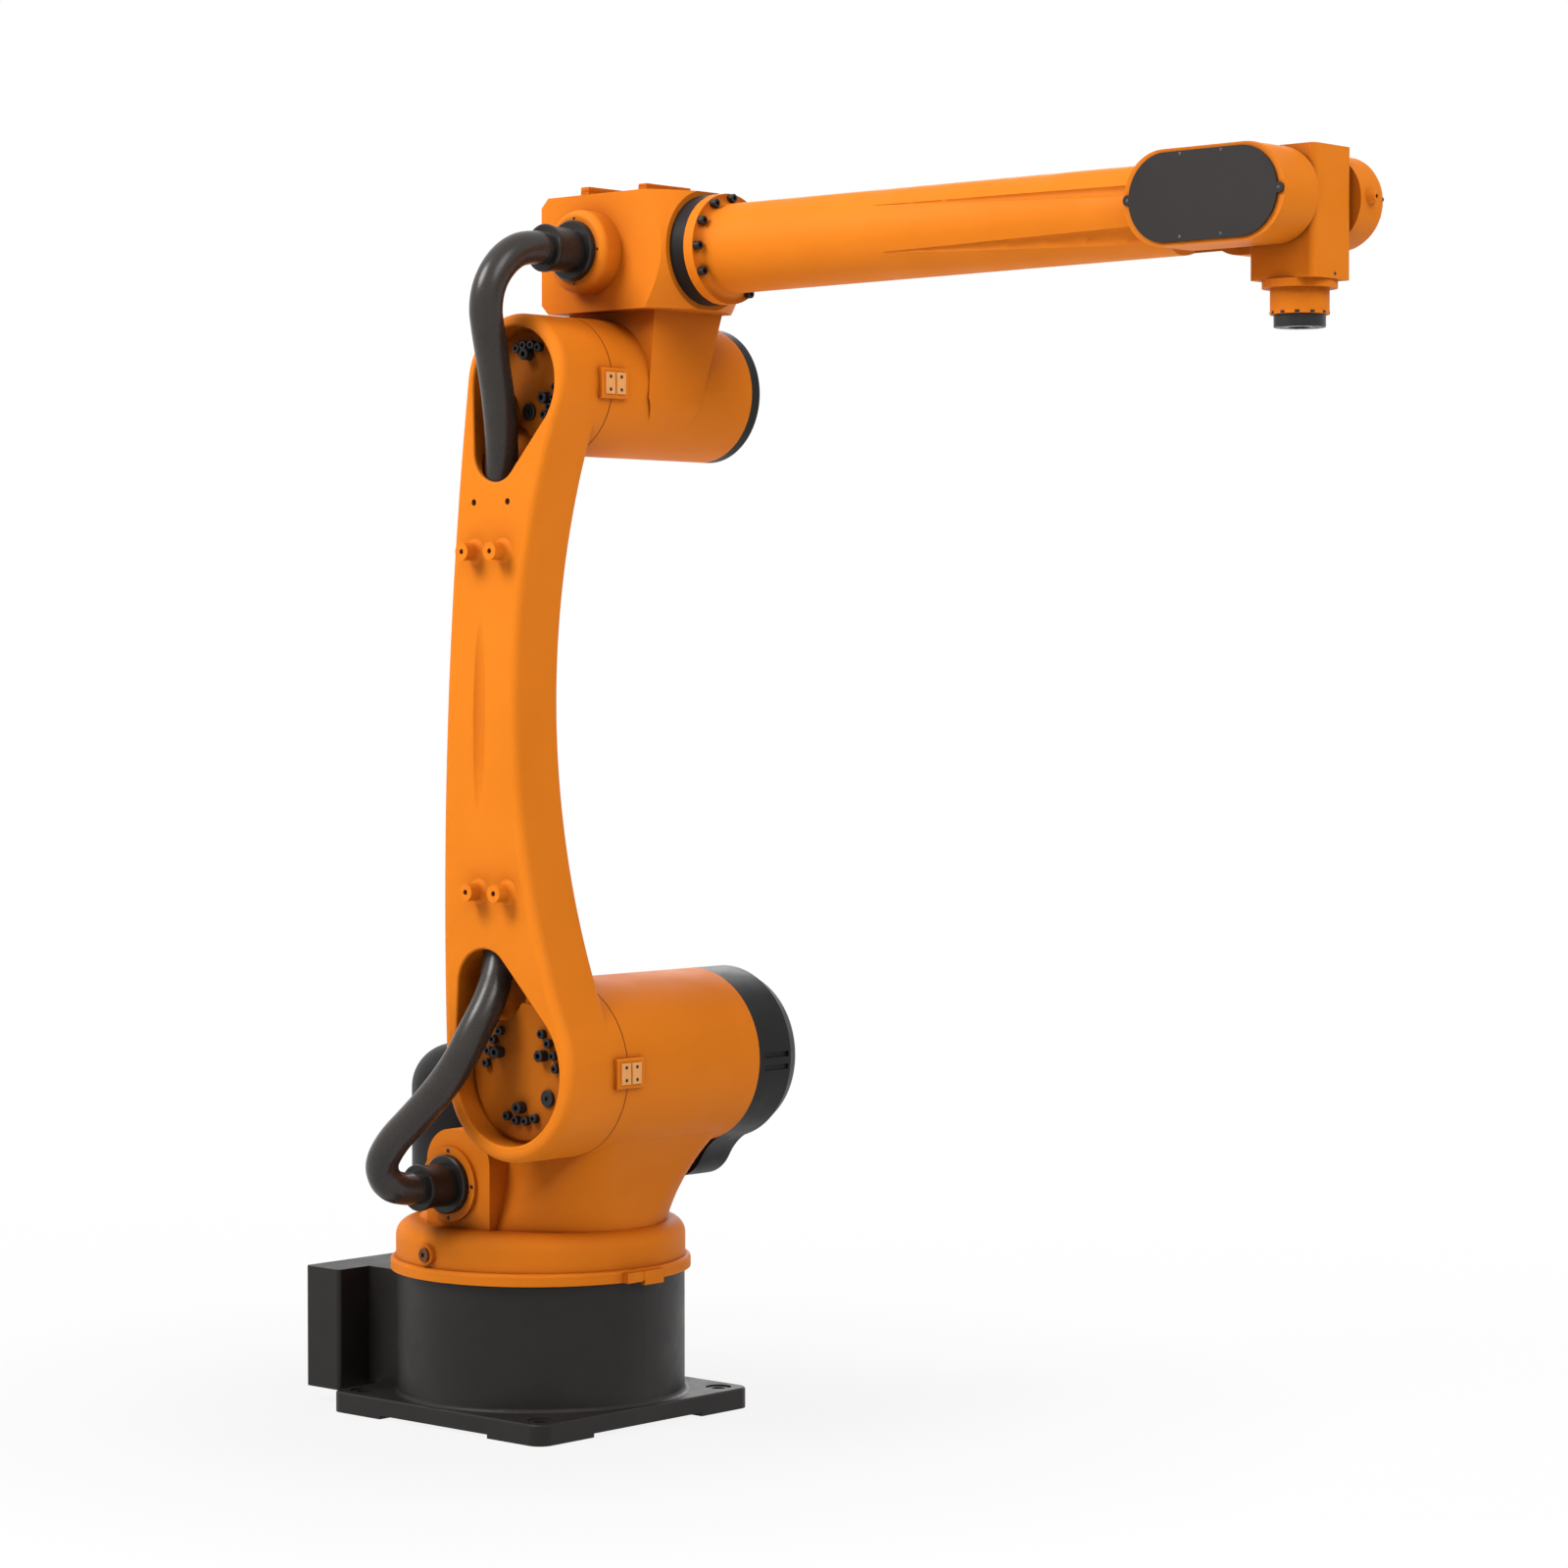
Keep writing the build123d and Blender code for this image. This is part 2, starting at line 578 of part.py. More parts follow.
def groove_spindle():
    """A spindle, laid along the near face, that cuts a shallow lens-shaped groove between the bosses."""
    profile = make_face([
        ThreePointArc((0, -GROOVE_LENGTH / 2), (GROOVE_SPINDLE_R, 0), (0, GROOVE_LENGTH / 2)),
        Line((0, GROOVE_LENGTH / 2), (0, -GROOVE_LENGTH / 2)),
    ])
    spindle = revolve(profile, axis=Axis.Y)
    lift = GROOVE_SPINDLE_R - GROOVE_DEPTH
    return arm_near_plane() * Pos(SHOULDER_X - GROOVE_BACK, GROOVE_RISE, lift) * spindle


def boss_places():
    """X and Z of the four bosses, in a low and a high pair."""
    pairs = [(SHOULDER_X - LOW_BOSS_BACK, SHOULDER_Z + LOW_BOSS_RISE),
             (SHOULDER_X - HIGH_BOSS_BACK, ELBOW_Z - HIGH_BOSS_DROP)]
    return [(x + side * BOSS_PAIR_SPACING / 2, z) for x, z in pairs for side in (-1, 1)]


def make_lower_arm_casting():
    body = make_arm_blank()
    inside = ARM_FAR_Y - ARM_EDGE
    body += rod_y(SHOULDER_X, SHOULDER_Z, HOUSING_R, inside, ARM_SEAM_Y)
    body += rod_y(SHOULDER_X, ELBOW_Z, ELBOW_HOUSING_R, inside, ARM_SEAM_Y)
    outside = arm_near_y(SHOULDER_Z) - ARM_EDGE
    low = egg(SHOULDER_X, SHOULDER_Z, SHOULDER_POCKET_R, *SHOULDER_MOUTH)
    high = egg(SHOULDER_X, ELBOW_Z, ELBOW_POCKET_R, *ELBOW_MOUTH)
    body -= slab_y(low, outside, shoulder_floor_y())
    body -= slab_y(high, outside, elbow_floor_y())
    near_face = body.faces().filter_by(GeomType.PLANE).sort_by(Axis.Y)[0]
    body = fillet(near_face.inner_wires().edges(), RIM_ROUND)
    for hollow in hose_room():
        body -= hollow
    body -= groove_spindle()
    for x, z in boss_places():
        end = arm_near_y(z) - BOSS_LENGTH
        body += rod_y(x, z, BOSS_R, end, arm_near_y(z) + ROOT)
        body -= rod_y(x, z, BOSS_HOLE_R, end - ROOT, end + BOSS_HOLE_DEPTH)
    tap_z = ELBOW_Z - ARM_TAP_DROP
    for side in (-1, 1):
        x = SHOULDER_X - ARM_TAP_BACK + side * ARM_TAP_SPACING / 2
        body -= rod_y(x, tap_z, ARM_TAP_R, arm_near_y(tap_z) - ROOT, arm_near_y(tap_z) + ARM_TAP_DEPTH)
    return body


def make_reducer_face(z, pocket_r, floor_y):
    face = rod_y(SHOULDER_X, z, pocket_r - REDUCER_FACE_MARGIN, floor_y - REDUCER_FACE_THICK, floor_y)
    for hollow in hose_room():
        face -= hollow
    return face


# Elbow

def turned_nose(rear):
    """A round bar along the forearm axis with a cone at its front, which turns the corners off the box."""
    cone_x = SEAL_BACK_X - NOSE_LENGTH
    bar_r = NOSE_R + NOSE_LENGTH
    cone = Pos(cone_x, 0, FOREARM_Z) * Rot(0, 90, 0) * Cone(bar_r, NOSE_R, NOSE_LENGTH, align=BOTTOM)
    return rod_x(0, FOREARM_Z, bar_r, rear, cone_x) + cone


def web_section(y_range, front, z):
    length = front + WEB_BACK
    centre = Pos(SHOULDER_X + front - length / 2, (y_range[0] + y_range[1]) / 2, z)
    return centre * Rectangle(length, y_range[1] - y_range[0])


def make_web():
    """The pillar between the elbow housing and the forearm box, narrower and further back at its foot."""
    top = web_section(WEB_TOP_Y, WEB_FRONT_TOP, FOREARM_Z - ELBOW_BOX_HALF_Z + ROOT)
    low = web_section(WEB_LOW_Y, WEB_FRONT_LOW, ELBOW_Z - WEB_DROP)
    return loft([low, top], ruled=True)


def make_elbow_casting():
    housing = rod_y(SHOULDER_X, ELBOW_Z, ELBOW_HOUSING_R, -HOUSING_HALF, ELBOW_HOUSING_END)
    rear = SHOULDER_X - ELBOW_BOX_BACK
    box = block(rear, SEAL_BACK_X, -ELBOW_BOX_HALF_Y, ELBOW_BOX_HALF_Y,
                FOREARM_Z - ELBOW_BOX_HALF_Z, FOREARM_Z + ELBOW_BOX_HALF_Z)
    box = chamfer(box.edges().filter_by(Axis.Y).group_by(Axis.X)[0], ELBOW_BOX_CHAMFER)
    box = box & turned_nose(rear)
    boss = rod_y(HOSE_BOSS_X, FOREARM_Z, HOSE_BOSS_R, HOSE_BOSS_FACE_Y, ROOT - ELBOW_BOX_HALF_Y)
    boss = fillet(edges_at_y(boss, HOSE_BOSS_FACE_Y), HOSE_BOSS_EDGE)
    return housing + box + make_web() + boss


def make_elbow_cap():
    end = ELBOW_HOUSING_END + ELBOW_CAP_THICK
    cap = rod_y(SHOULDER_X, ELBOW_Z, ELBOW_HOUSING_R, ELBOW_HOUSING_END, end)
    return chamfer(edges_at_y(cap, end), ELBOW_CAP_EDGE)


def make_top_cover(x):
    roof = FOREARM_Z + ELBOW_BOX_HALF_Z
    cover = block(x - TOP_COVER_LENGTH / 2, x + TOP_COVER_LENGTH / 2, -TOP_COVER_WIDTH / 2, TOP_COVER_WIDTH / 2,
                  roof, roof + TOP_COVER_HEIGHT)
    return chamfer(cover.edges().group_by(Axis.Z)[-1], EDGE_BREAK)


def make_rear_cover():
    half_y = ELBOW_BOX_HALF_Y - REAR_COVER_MARGIN
    half_z = ELBOW_BOX_HALF_Z - REAR_COVER_MARGIN
    front = SHOULDER_X - ELBOW_BOX_BACK
    cover = block(front - REAR_COVER_THICK, front, -half_y, half_y, FOREARM_Z - half_z, FOREARM_Z + half_z)
    return fillet(cover.edges().filter_by(Axis.X), REAR_COVER_CORNER)


def make_seal_ring():
    return rod_x(0, FOREARM_Z, SEAL_R, SEAL_BACK_X, SEAL_BACK_X + SEAL_THICK)


# Forearm

def tube_radius(x):
    share = (x - FOREARM_ROOT_X) / (TUBE_END_X - FOREARM_ROOT_X)
    return TUBE_ROOT_R + share * (TUBE_TIP_R - TUBE_ROOT_R)


def flute(start_ahead, angles, end_r, end_depth):
    """A slim cone that cuts a flute in the tube's -Y side, from a point to the belt housing."""
    ends = []
    for x, angle, lift in ((SHOULDER_X + start_ahead, angles[0], 0), (BELT_REAR_X, angles[1], end_r - end_depth)):
        away = tube_radius(x) + lift
        ends.append(Vector(x, -away * cos(radians(angle)), FOREARM_Z + away * sin(radians(angle))))
    run = ends[1] - ends[0]
    return Plane(origin=ends[0], z_dir=run) * Cone(FLUTE_TIP_R, end_r, run.length, align=BOTTOM)


def make_forearm_tube():
    length = TUBE_END_X - FOREARM_ROOT_X
    tube = Pos(FOREARM_ROOT_X, 0, FOREARM_Z) * Rot(0, 90, 0) * Cone(TUBE_ROOT_R, TUBE_TIP_R, length, align=BOTTOM)
    tube -= flute(LOW_FLUTE_START, LOW_FLUTE_ANGLES, LOW_FLUTE_R, LOW_FLUTE_DEPTH)
    tube -= flute(HIGH_FLUTE_START, HIGH_FLUTE_ANGLES, HIGH_FLUTE_R, HIGH_FLUTE_DEPTH)
    return tube - rod_y(TUBE_END_X, FOREARM_Z - SCOOP_DROP, SCOOP_R, -FORK_HALF_GAP, SCOOP_FAR_Y)


def make_forearm_casting():
    flange_x = FOREARM_ROOT_X + FLANGE_THICK
    flange = rod_x(0, FOREARM_Z, FLANGE_R, FOREARM_ROOT_X, flange_x)
    root = hollow_ring(tube_radius(flange_x + FLANGE_FILLET), FLANGE_FILLET)
    flange += Pos(flange_x, 0, FOREARM_Z) * Rot(0, 90, 0) * root
    near = stadium(BELT_REAR_X, WRIST_X, FOREARM_Z, BELT_HOUSING_R)
    far = stadium(BELT_REAR_X, WRIST_X, FOREARM_Z, FAR_ARM_R)
    near_arm = slab_y(near, BELT_FACE_Y, -FORK_HALF_GAP)
    far_arm = slab_y(far, FORK_HALF_GAP, FAR_ARM_Y)
    return flange + make_forearm_tube() + near_arm + far_arm


def make_belt_cover():
    """A slot-shaped plate with a small screw lug at each end."""
    low = BELT_REAR_X + BELT_COVER_INSET
    high = WRIST_X - BELT_COVER_INSET
    radius = BELT_HOUSING_R - BELT_COVER_MARGIN
    outer = BELT_FACE_Y - BELT_COVER_THICK
    cover = slab_y(stadium(low, high, FOREARM_Z, radius), outer, BELT_FACE_Y)
    for x in (low - radius - COVER_LUG_OUT, high + radius + COVER_LUG_OUT):
        cover += rod_y(x, FOREARM_Z, COVER_LUG_R, outer, BELT_FACE_Y)
    return cover


def make_far_cap():
    cap = rod_y(WRIST_X, FOREARM_Z, FAR_CAP_R, FAR_ARM_Y, FAR_ARM_Y + FAR_CAP_THICK)
    return chamfer(edges_at_y(cap, FAR_ARM_Y + FAR_CAP_THICK), FAR_CAP_EDGE)


# Wrist

def make_wrist_block():
    body = block(WRIST_X - WRIST_HALF_X, WRIST_X + WRIST_HALF_X, -WRIST_HALF_Y, WRIST_HALF_Y,
                 NECK_RING_TOP, FOREARM_Z + WRIST_RISE)
    body = fillet(body.edges().filter_by(Axis.Z), WRIST_EDGE)
    hub = FORK_HALF_GAP - BEARING_GAP
    return body + rod_y(WRIST_X, FOREARM_Z, WRIST_HUB_R, -hub, hub)


def make_wrist_neck_ring():
    return rod_z(WRIST_X, 0, NECK_RING_R, REDUCER_TOP, NECK_RING_TOP)


def make_tool_reducer():
    return rod_z(WRIST_X, 0, REDUCER_R, REDUCER_TOP - REDUCER_HEIGHT, REDUCER_TOP)


def make_tool_flange():
    face = TOOL_TOP - TOOL_THICK
    disc = rod_z(WRIST_X, 0, TOOL_R, face, TOOL_TOP)
    disc = chamfer(disc.edges().group_by(Axis.Z)[0], EDGE_BREAK / 2)
    disc -= rod_z(WRIST_X, 0, TOOL_BORE_R, face - ROOT, face + TOOL_BORE_DEPTH)
    for turn in range(4):
        hole = rod_z(TOOL_PCD / 2, 0, TOOL_HOLE_R, face - ROOT, face + TOOL_HOLE_DEPTH)
        disc -= Pos(WRIST_X, 0, 0) * Rot(0, 0, 45 + 90 * turn) * hole
    return disc - Pos(WRIST_X, 0, 0) * rod_z(TOOL_PCD / 2, 0, TOOL_PIN_R, face - ROOT, face + TOOL_BORE_DEPTH)


# Hoses

OUTLET_GLAND_Y = OUTLET_FACE_Y - OUTLET_PLATE_THICK
BEND_SHARE = 0.45
ARM_HOSE_LOW_RISE = 205.0
ARM_HOSE_HIGH_DROP = 180.0
CHANNEL_ENTRY_RISE = 156.0
CHANNEL_EXIT_DROP = 121.0
ARM_HOSE_LOW_Z = SHOULDER_Z + ARM_HOSE_LOW_RISE
ARM_HOSE_HIGH_Z = ELBOW_Z - ARM_HOSE_HIGH_DROP
CHANNEL_ENTRY_Z = SHOULDER_Z + CHANNEL_ENTRY_RISE
CHANNEL_EXIT_Z = ELBOW_Z - CHANNEL_EXIT_DROP

# Corners of the free loops: X and Z from the shoulder or elbow axis, Y in the frame
LOWER_LOOP = [(-177, -277, -128), (-151, -279, -93), (-113, -273, -59), (-80, -266, -26), (-52, -257, 11),
              (-37, -243, 52), (-34, -220, 88), (-43, -196, 122)]
UPPER_LOOP = [(-37, -193, -87), (-25, -207, -51), (-17, -220, -12), (-10, -235, 27), (-3, -250, 63), (2, -260, 92),
              (6, -255, 124), (9, -233, 153)]


def lower_hose_route():
    start = OUTLET_GLAND_Y - GLAND_LENGTH
    lead = [(OUTLET_X, start, OUTLET_Z), (OUTLET_X, start - 2 * HOSE_R, OUTLET_Z)]
    loop = [(SHOULDER_X + x, y, SHOULDER_Z + z) for x, y, z in LOWER_LOOP]
    return lead + loop + [(CHANNEL_X, CHANNEL_Y, z) for z in (CHANNEL_ENTRY_Z, ARM_HOSE_LOW_Z)]


def upper_hose_route():
    end = HOSE_BOSS_FACE_Y - GLAND_LENGTH
    loop = [(SHOULDER_X + x, y, ELBOW_Z + z) for x, y, z in UPPER_LOOP]
    tail = [(HOSE_BOSS_X, end - 1.6 * HOSE_R, FOREARM_Z), (HOSE_BOSS_X, end, FOREARM_Z)]
    return [(CHANNEL_X, CHANNEL_Y, z) for z in (ARM_HOSE_HIGH_Z, CHANNEL_EXIT_Z)] + loop + tail


def make_hose(name, route):
    points = [Vector(*point) for point in route]
    runs = [b - a for a, b in zip(points, points[1:])]
    radii = []
    for before, after in zip(runs, runs[1:]):
        half_turn = radians(before.get_angle(after)) / 2
        radii.append(BEND_SHARE * min(before.length, after.length) / tan(half_turn))
    path = FilletPolyline(*points, radius=radii)
    tube = sweep(Plane(origin=path @ 0, z_dir=path % 0) * Circle(HOSE_R), path=path)
    expected = Circle(HOSE_R).area * path.length
    print(name, "radii", [round(r) for r in radii], "length", round(path.length),
          "volume ratio", round(tube.volume / expected, 4))
    return tube


def make_arm_hose():
    return rod_z(CHANNEL_X, CHANNEL_Y, HOSE_R, ARM_HOSE_LOW_Z + BEARING_GAP, ARM_HOSE_HIGH_Z - BEARING_GAP)


def make_parts():
    fixed = (-HOUSING_HALF, MARK_WIDTH - HOUSING_HALF)
    moving = (ARM_SEAM_Y - MARK_WIDTH, ARM_SEAM_Y)
    return {
        "base_casting": make_base_casting(),
        "connector_box": make_connector_box(),
        "connector_panel": make_connector_panel(),
        "connector_hoods": make_connector_hoods(),
        "turntable_casting": make_turntable_casting(),
        "turn_motor_cover": make_turn_motor_cover(),
        "shoulder_motor_cover": make_shoulder_motor_cover(),
        "hose_outlet_plate": make_outlet_plate(),
        "lower_hose_gland": make_gland(OUTLET_X, OUTLET_Z, OUTLET_GLAND_Y),
        "shoulder_zero_mark_fixed": make_zero_mark(SHOULDER_Z, HOUSING_R, *fixed),
        "lower_hose": make_hose("lower_hose", lower_hose_route()),
        "lower_arm_casting": make_lower_arm_casting(),
        "shoulder_reducer_face": make_reducer_face(SHOULDER_Z, SHOULDER_POCKET_R, shoulder_floor_y()),
        "elbow_reducer_face": make_reducer_face(ELBOW_Z, ELBOW_POCKET_R, elbow_floor_y()),
        "shoulder_zero_mark_moving": make_zero_mark(SHOULDER_Z, HOUSING_R, *moving),
        "elbow_zero_mark_fixed": make_zero_mark(ELBOW_Z, ELBOW_HOUSING_R, *moving),
        "arm_hose": make_arm_hose(),
        "elbow_casting": make_elbow_casting(),
        "elbow_end_cap": make_elbow_cap(),
        "elbow_top_cover_rear": make_top_cover(SHOULDER_X - REAR_TOP_COVER_BACK),
        "elbow_top_cover_front": make_top_cover(SHOULDER_X + FRONT_TOP_COVER_AHEAD),
        "elbow_rear_cover": make_rear_cover(),
        "upper_hose_gland": make_gland(HOSE_BOSS_X, FOREARM_Z, HOSE_BOSS_FACE_Y),
        "elbow_zero_mark_moving": make_zero_mark(ELBOW_Z, ELBOW_HOUSING_R, *fixed),
        "forearm_seal_ring": make_seal_ring(),
        "upper_hose": make_hose("upper_hose", upper_hose_route()),
        "forearm_casting": make_forearm_casting(),
        "belt_cover": make_belt_cover(),
        "wrist_bearing_cap": make_far_cap(),
        "wrist_block": make_wrist_block(),
        "wrist_neck_ring": make_wrist_neck_ring(),
        "tool_reducer": make_tool_reducer(),
        "tool_flange": make_tool_flange(),
    }


os.makedirs("parts", exist_ok=True)
for node, solid in make_parts().items():
    export_step(solid, f"parts/{node}.step")
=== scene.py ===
"""Looks of a six-axis industrial robot arm, built round its solids. Metres, +Z up, +X along the forearm."""

import json
from math import atan2, cos, pi, radians, sin

import bmesh
import bpy
from mathutils import Matrix, Vector
from mathutils.geometry import interpolate_bezier


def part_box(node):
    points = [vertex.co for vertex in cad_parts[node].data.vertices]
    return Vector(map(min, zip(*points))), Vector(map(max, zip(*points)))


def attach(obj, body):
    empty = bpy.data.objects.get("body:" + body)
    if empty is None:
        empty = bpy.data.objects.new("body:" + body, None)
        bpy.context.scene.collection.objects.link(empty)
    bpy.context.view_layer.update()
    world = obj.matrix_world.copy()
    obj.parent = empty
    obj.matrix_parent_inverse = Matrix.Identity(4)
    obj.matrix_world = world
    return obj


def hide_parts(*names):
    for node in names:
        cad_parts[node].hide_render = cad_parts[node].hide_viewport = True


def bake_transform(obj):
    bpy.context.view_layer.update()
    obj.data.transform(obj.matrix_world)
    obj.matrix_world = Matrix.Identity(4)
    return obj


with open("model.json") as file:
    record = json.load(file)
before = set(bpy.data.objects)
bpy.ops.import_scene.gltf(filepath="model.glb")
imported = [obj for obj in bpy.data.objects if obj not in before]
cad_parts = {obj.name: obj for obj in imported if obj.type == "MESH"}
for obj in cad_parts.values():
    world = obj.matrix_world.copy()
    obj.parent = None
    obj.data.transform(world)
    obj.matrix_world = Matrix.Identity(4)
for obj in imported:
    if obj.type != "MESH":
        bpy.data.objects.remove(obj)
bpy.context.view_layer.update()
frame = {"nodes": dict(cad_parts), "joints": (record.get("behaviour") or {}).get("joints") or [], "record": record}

MM = 0.001
AXIS = {joint["name"]: Vector(joint["pos_m"]) for joint in frame["joints"]}
SLOT_OF = {part["node"]: part["material_slot"] for part in frame["record"]["subparts"]}
MOUNTS = frame["record"]["mounts"]

# Directions, as the robot stands
AHEAD = (1, 0, 0)
BEHIND = (-1, 0, 0)
LEFT = (0, 1, 0)
RIGHT = (0, -1, 0)
UP = (0, 0, 1)

# Camera of the reference view
CAMERA_AT = (3.9134, -3.8800, 0.9853)
CAMERA_AZIMUTH = 41.92
CAMERA_DROP = 1.69
CAMERA_LENS = 96.38
SENSOR = 36.0

# Studio: lamps as (place, size, watts), and floor tones that change with the distance from the first axis; the
# floor is darker near the robot, a painted contact shadow that also sends less light back up onto the base
WHITE = (1, 1, 1, 1)
DOME_TINT = (1.0, 0.985, 0.965, 1)
DOME_AT_HORIZON = 0.15
DOME_OVERHEAD = 0.50
LAMP_AIM = (0.35, 0.0, 0.9)
LAMPS = {
    "key_softbox": ((-0.9, -2.7, 3.5), 1.8, 116),
    "front_fill": ((3.5, -0.8, 3.7), 2.2, 68),
    "back_fill": ((-2.2, 4.0, 2.6), 2.4, 70),
}
FLOOR_RADIUS = 9.0
FLOOR_SIDES = 96
FLOOR_ROUGHNESS = 0.9
FLOOR_SPECULAR = 0.1
# Floor colour from near to far: darker round the robot, a painted shadow
PAINTED_FLOOR_SHADOW_REACH = (0.4, 1.1)
PAINTED_FLOOR_SHADOW = (0.35, 0.9)
FLOOR_GLOW_REACH = (0.3, 2.6)
FLOOR_GLOW = (0.88, 1.0)

# Finishes: what all of them share
NOISE_MIDDLE = (0.3, 0.7)
NOISE_ROUGHNESS = 0.55
COLOUR_DETAIL = 6.0
GLOSS_DETAIL = 4.0
GLOSS_FINER = 3
GRAIN_DETAIL = 2.0
GRAIN_STRENGTH = 0.35
# Painted shade in pockets and inner corners: how far it looks for nearby surfaces, how steeply it darkens, and its
# samples
PAINTED_SHADE_REACH = 90 * MM
PAINTED_SHADE_FALL = 1.8
PAINTED_SHADE_SAMPLES = 8

# Meshes
SIDES = 24
LIP_SIDES = 40
SEAM_SIDES = 96
BREAK = 0.7 * MM
BEVEL_STEPS = 2
WELD = 1e-6
CREASE = 35.0

# Screws and plugs: head radius, head height, socket radius, socket depth
LONG_SCREW = (7.4 * MM, 13 * MM, 3.8 * MM, 5 * MM)
SHORT_SCREW = (5.7 * MM, 7.5 * MM, 3.0 * MM, 3.5 * MM)
FLANGE_SCREW = (5.4 * MM, 8.5 * MM, 2.9 * MM, 4 * MM)
COVER_SCREW = (4.2 * MM, 3.2 * MM, 2.1 * MM, 2 * MM)
SMALL_SCREW = (2.6 * MM, 1.2 * MM, 1.2 * MM, 0.8 * MM)
MARK_SCREW = (2.4 * MM, 0.8 * MM, 1.2 * MM, 0.5 * MM)
BLOCK_SCREW = (2.2 * MM, 0.6 * MM, 1.1 * MM, 0.4 * MM)
TINY_SCREW = (2.0 * MM, 0.8 * MM, 1.0 * MM, 0.5 * MM)
FLUSH_SCREW = (4.0 * MM, 0.6 * MM, 2.0 * MM, 0.4 * MM)
OIL_PLUG = (10.5 * MM, 4 * MM, 3.0 * MM, 2.5 * MM)
GREASE_PLUG = (9.0 * MM, 4 * MM, 3.4 * MM, 3 * MM)

# Hoses: the corners of each route, as the solids have them
HOSE_DIAMETER = 42 * MM
HOSE_CREASE = 50.0
HOSE_LINE_STEPS = 10
HOSE_ROUND_STEPS = 7
LOWER_HOSE_ROUTE = [
    (-0.013, -0.210, 0.310), (-0.013, -0.252, 0.310), (-0.012, -0.277, 0.342), (0.014, -0.279, 0.377),
    (0.052, -0.273, 0.411), (0.085, -0.266, 0.444), (0.113, -0.257, 0.481), (0.128, -0.243, 0.522),
    (0.131, -0.220, 0.558), (0.122, -0.196, 0.592), (0.117, -0.184, 0.626), (0.117, -0.184, 0.675)]
ARM_HOSE_ROUTE = [
    (0.117, -0.184, 0.6753), (0.117, -0.184, 0.830), (0.117, -0.184, 0.990), (0.117, -0.184, 1.1497)]
UPPER_HOSE_ROUTE = [
    (0.117, -0.184, 1.150), (0.117, -0.184, 1.209), (0.128, -0.193, 1.243), (0.140, -0.207, 1.279),
    (0.148, -0.220, 1.318), (0.155, -0.235, 1.357), (0.162, -0.250, 1.393), (0.167, -0.260, 1.422),
    (0.171, -0.255, 1.454), (0.174, -0.233, 1.483), (0.175, -0.2006, 1.500), (0.175, -0.167, 1.500)]

# Lip at the mouth of a hose gland
GLAND_R = 28 * MM
LIP_SEAT = 3 * MM
LIP_HEIGHT = 2 * MM
LIP_LENGTH = 8 * MM
LIP_ROUND = 1 * MM
LIP_OUT = 0.5 * MM

# Reducer faces: middles of the screw groups in degrees, radius of the long and of the short screws, and the
# radius and angle of the oil plug
REDUCERS = {
    "shoulder": ((-90, 30, 150), 45 * MM, 62 * MM, (55 * MM, -34)),
    "elbow": ((90, -30, 210), 37 * MM, 49 * MM, (35 * MM, -90)),
}
SHORT_SCREW_STEPS = (-23, -8, 8, 23)

# Back edge of the lower arm
ARM_BACK_R = 5000 * MM
ARM_EDGE = 12 * MM
ARM_FAR_Y = -135 * MM
RIM_SKIN = 0.1 * MM
RIM_TURNS = range(-8, 99, 8)
RIM_STEPS = 60

# Bosses and tapped holes of the lower arm
BOSS_R = 11 * MM
BOSS_LENGTH = 24 * MM
FLARE_REACH = 7 * MM
FLARE_RISE = 8 * MM
FLARE_SINK = 2 * MM
FLARE_LAP = 1 * MM
FLARE_STEPS = 6
# Dark discs inside the tapped holes, painted shade: their depth behind the face, length and clearance
HOLE_SHADE_DEPTH = 7 * MM
HOLE_SHADE_LENGTH = 4 * MM
HOLE_SHADE_SLACK = 0.15 * MM

# Dark line between a housing and the arm: the shadow in the gap, painted on a thin ring
SEAM_DEPTH = 2 * MM
SEAM_PROUD = 0.25 * MM
SEAM_HALF = 0.6 * MM
SEAM_GAP = 0.15 * MM

# Plates of the zero marks: the body that carries each, and the way along Y to the seam
ZERO_MARKS = {
    "shoulder_zero_mark_fixed": ("turntable", -1),
    "shoulder_zero_mark_moving": ("lower_arm", 1),
    "elbow_zero_mark_fixed": ("lower_arm", 1),
    "elbow_zero_mark_moving": ("elbow", -1),
}
MARK_HALF_Y = 8 * MM
MARK_HALF_Z = 13.5 * MM
MARK_SHIFT = 2.6 * MM
MARK_SINK = 1 * MM
MARK_RISE = 2 * MM
MARK_BREAK = 0.5 * MM
MARK_SCREW_RISE = 8 * MM
MARK_SCREW_SINK = 0.1 * MM

# Turntable
OUTLET_SCREW_R = 43.5 * MM
GREASE_TURN = -94.0
GREASE_REACH = 196 * MM
GREASE_Z = 222.5 * MM
RIM_BRIDGE = ((190 * MM, -19 * MM, 1 * MM), (201.6 * MM, -11 * MM, 12.6 * MM))
RIM_BRIDGE_BREAK = 0.4 * MM
MOTOR_COVER_SCREW_R = 84 * MM

# Base
PANEL_INSET = 9 * MM
HOOD_YS = (-65 * MM, 65 * MM)
LEVER_Y = 43 * MM
LEVER_HALF = 3 * MM
LEVER_BACK = 5 * MM
LEVER_FRONT = 3 * MM
LEVER_INSET = 8 * MM
LEVER_BREAK = 1.2 * MM

# Foot of the elbow's pillar: points of its front as (ahead, up) from the elbow's axis
WEB_BROW = (88.6 * MM, 10 * MM)
WEB_KNEE = (88.2 * MM, -15 * MM)
WEB_FOOT_Y = (-57.7 * MM, 39.7 * MM)
WEB_LEANS = (0.0714, 0.3125)
WEB_TUCK = 0.45
WEB_RUN_OUT = 32.0
WEB_SOFTNESS = 12 * MM
WEB_STEPS = 12
WEB_SEAT = 0.9

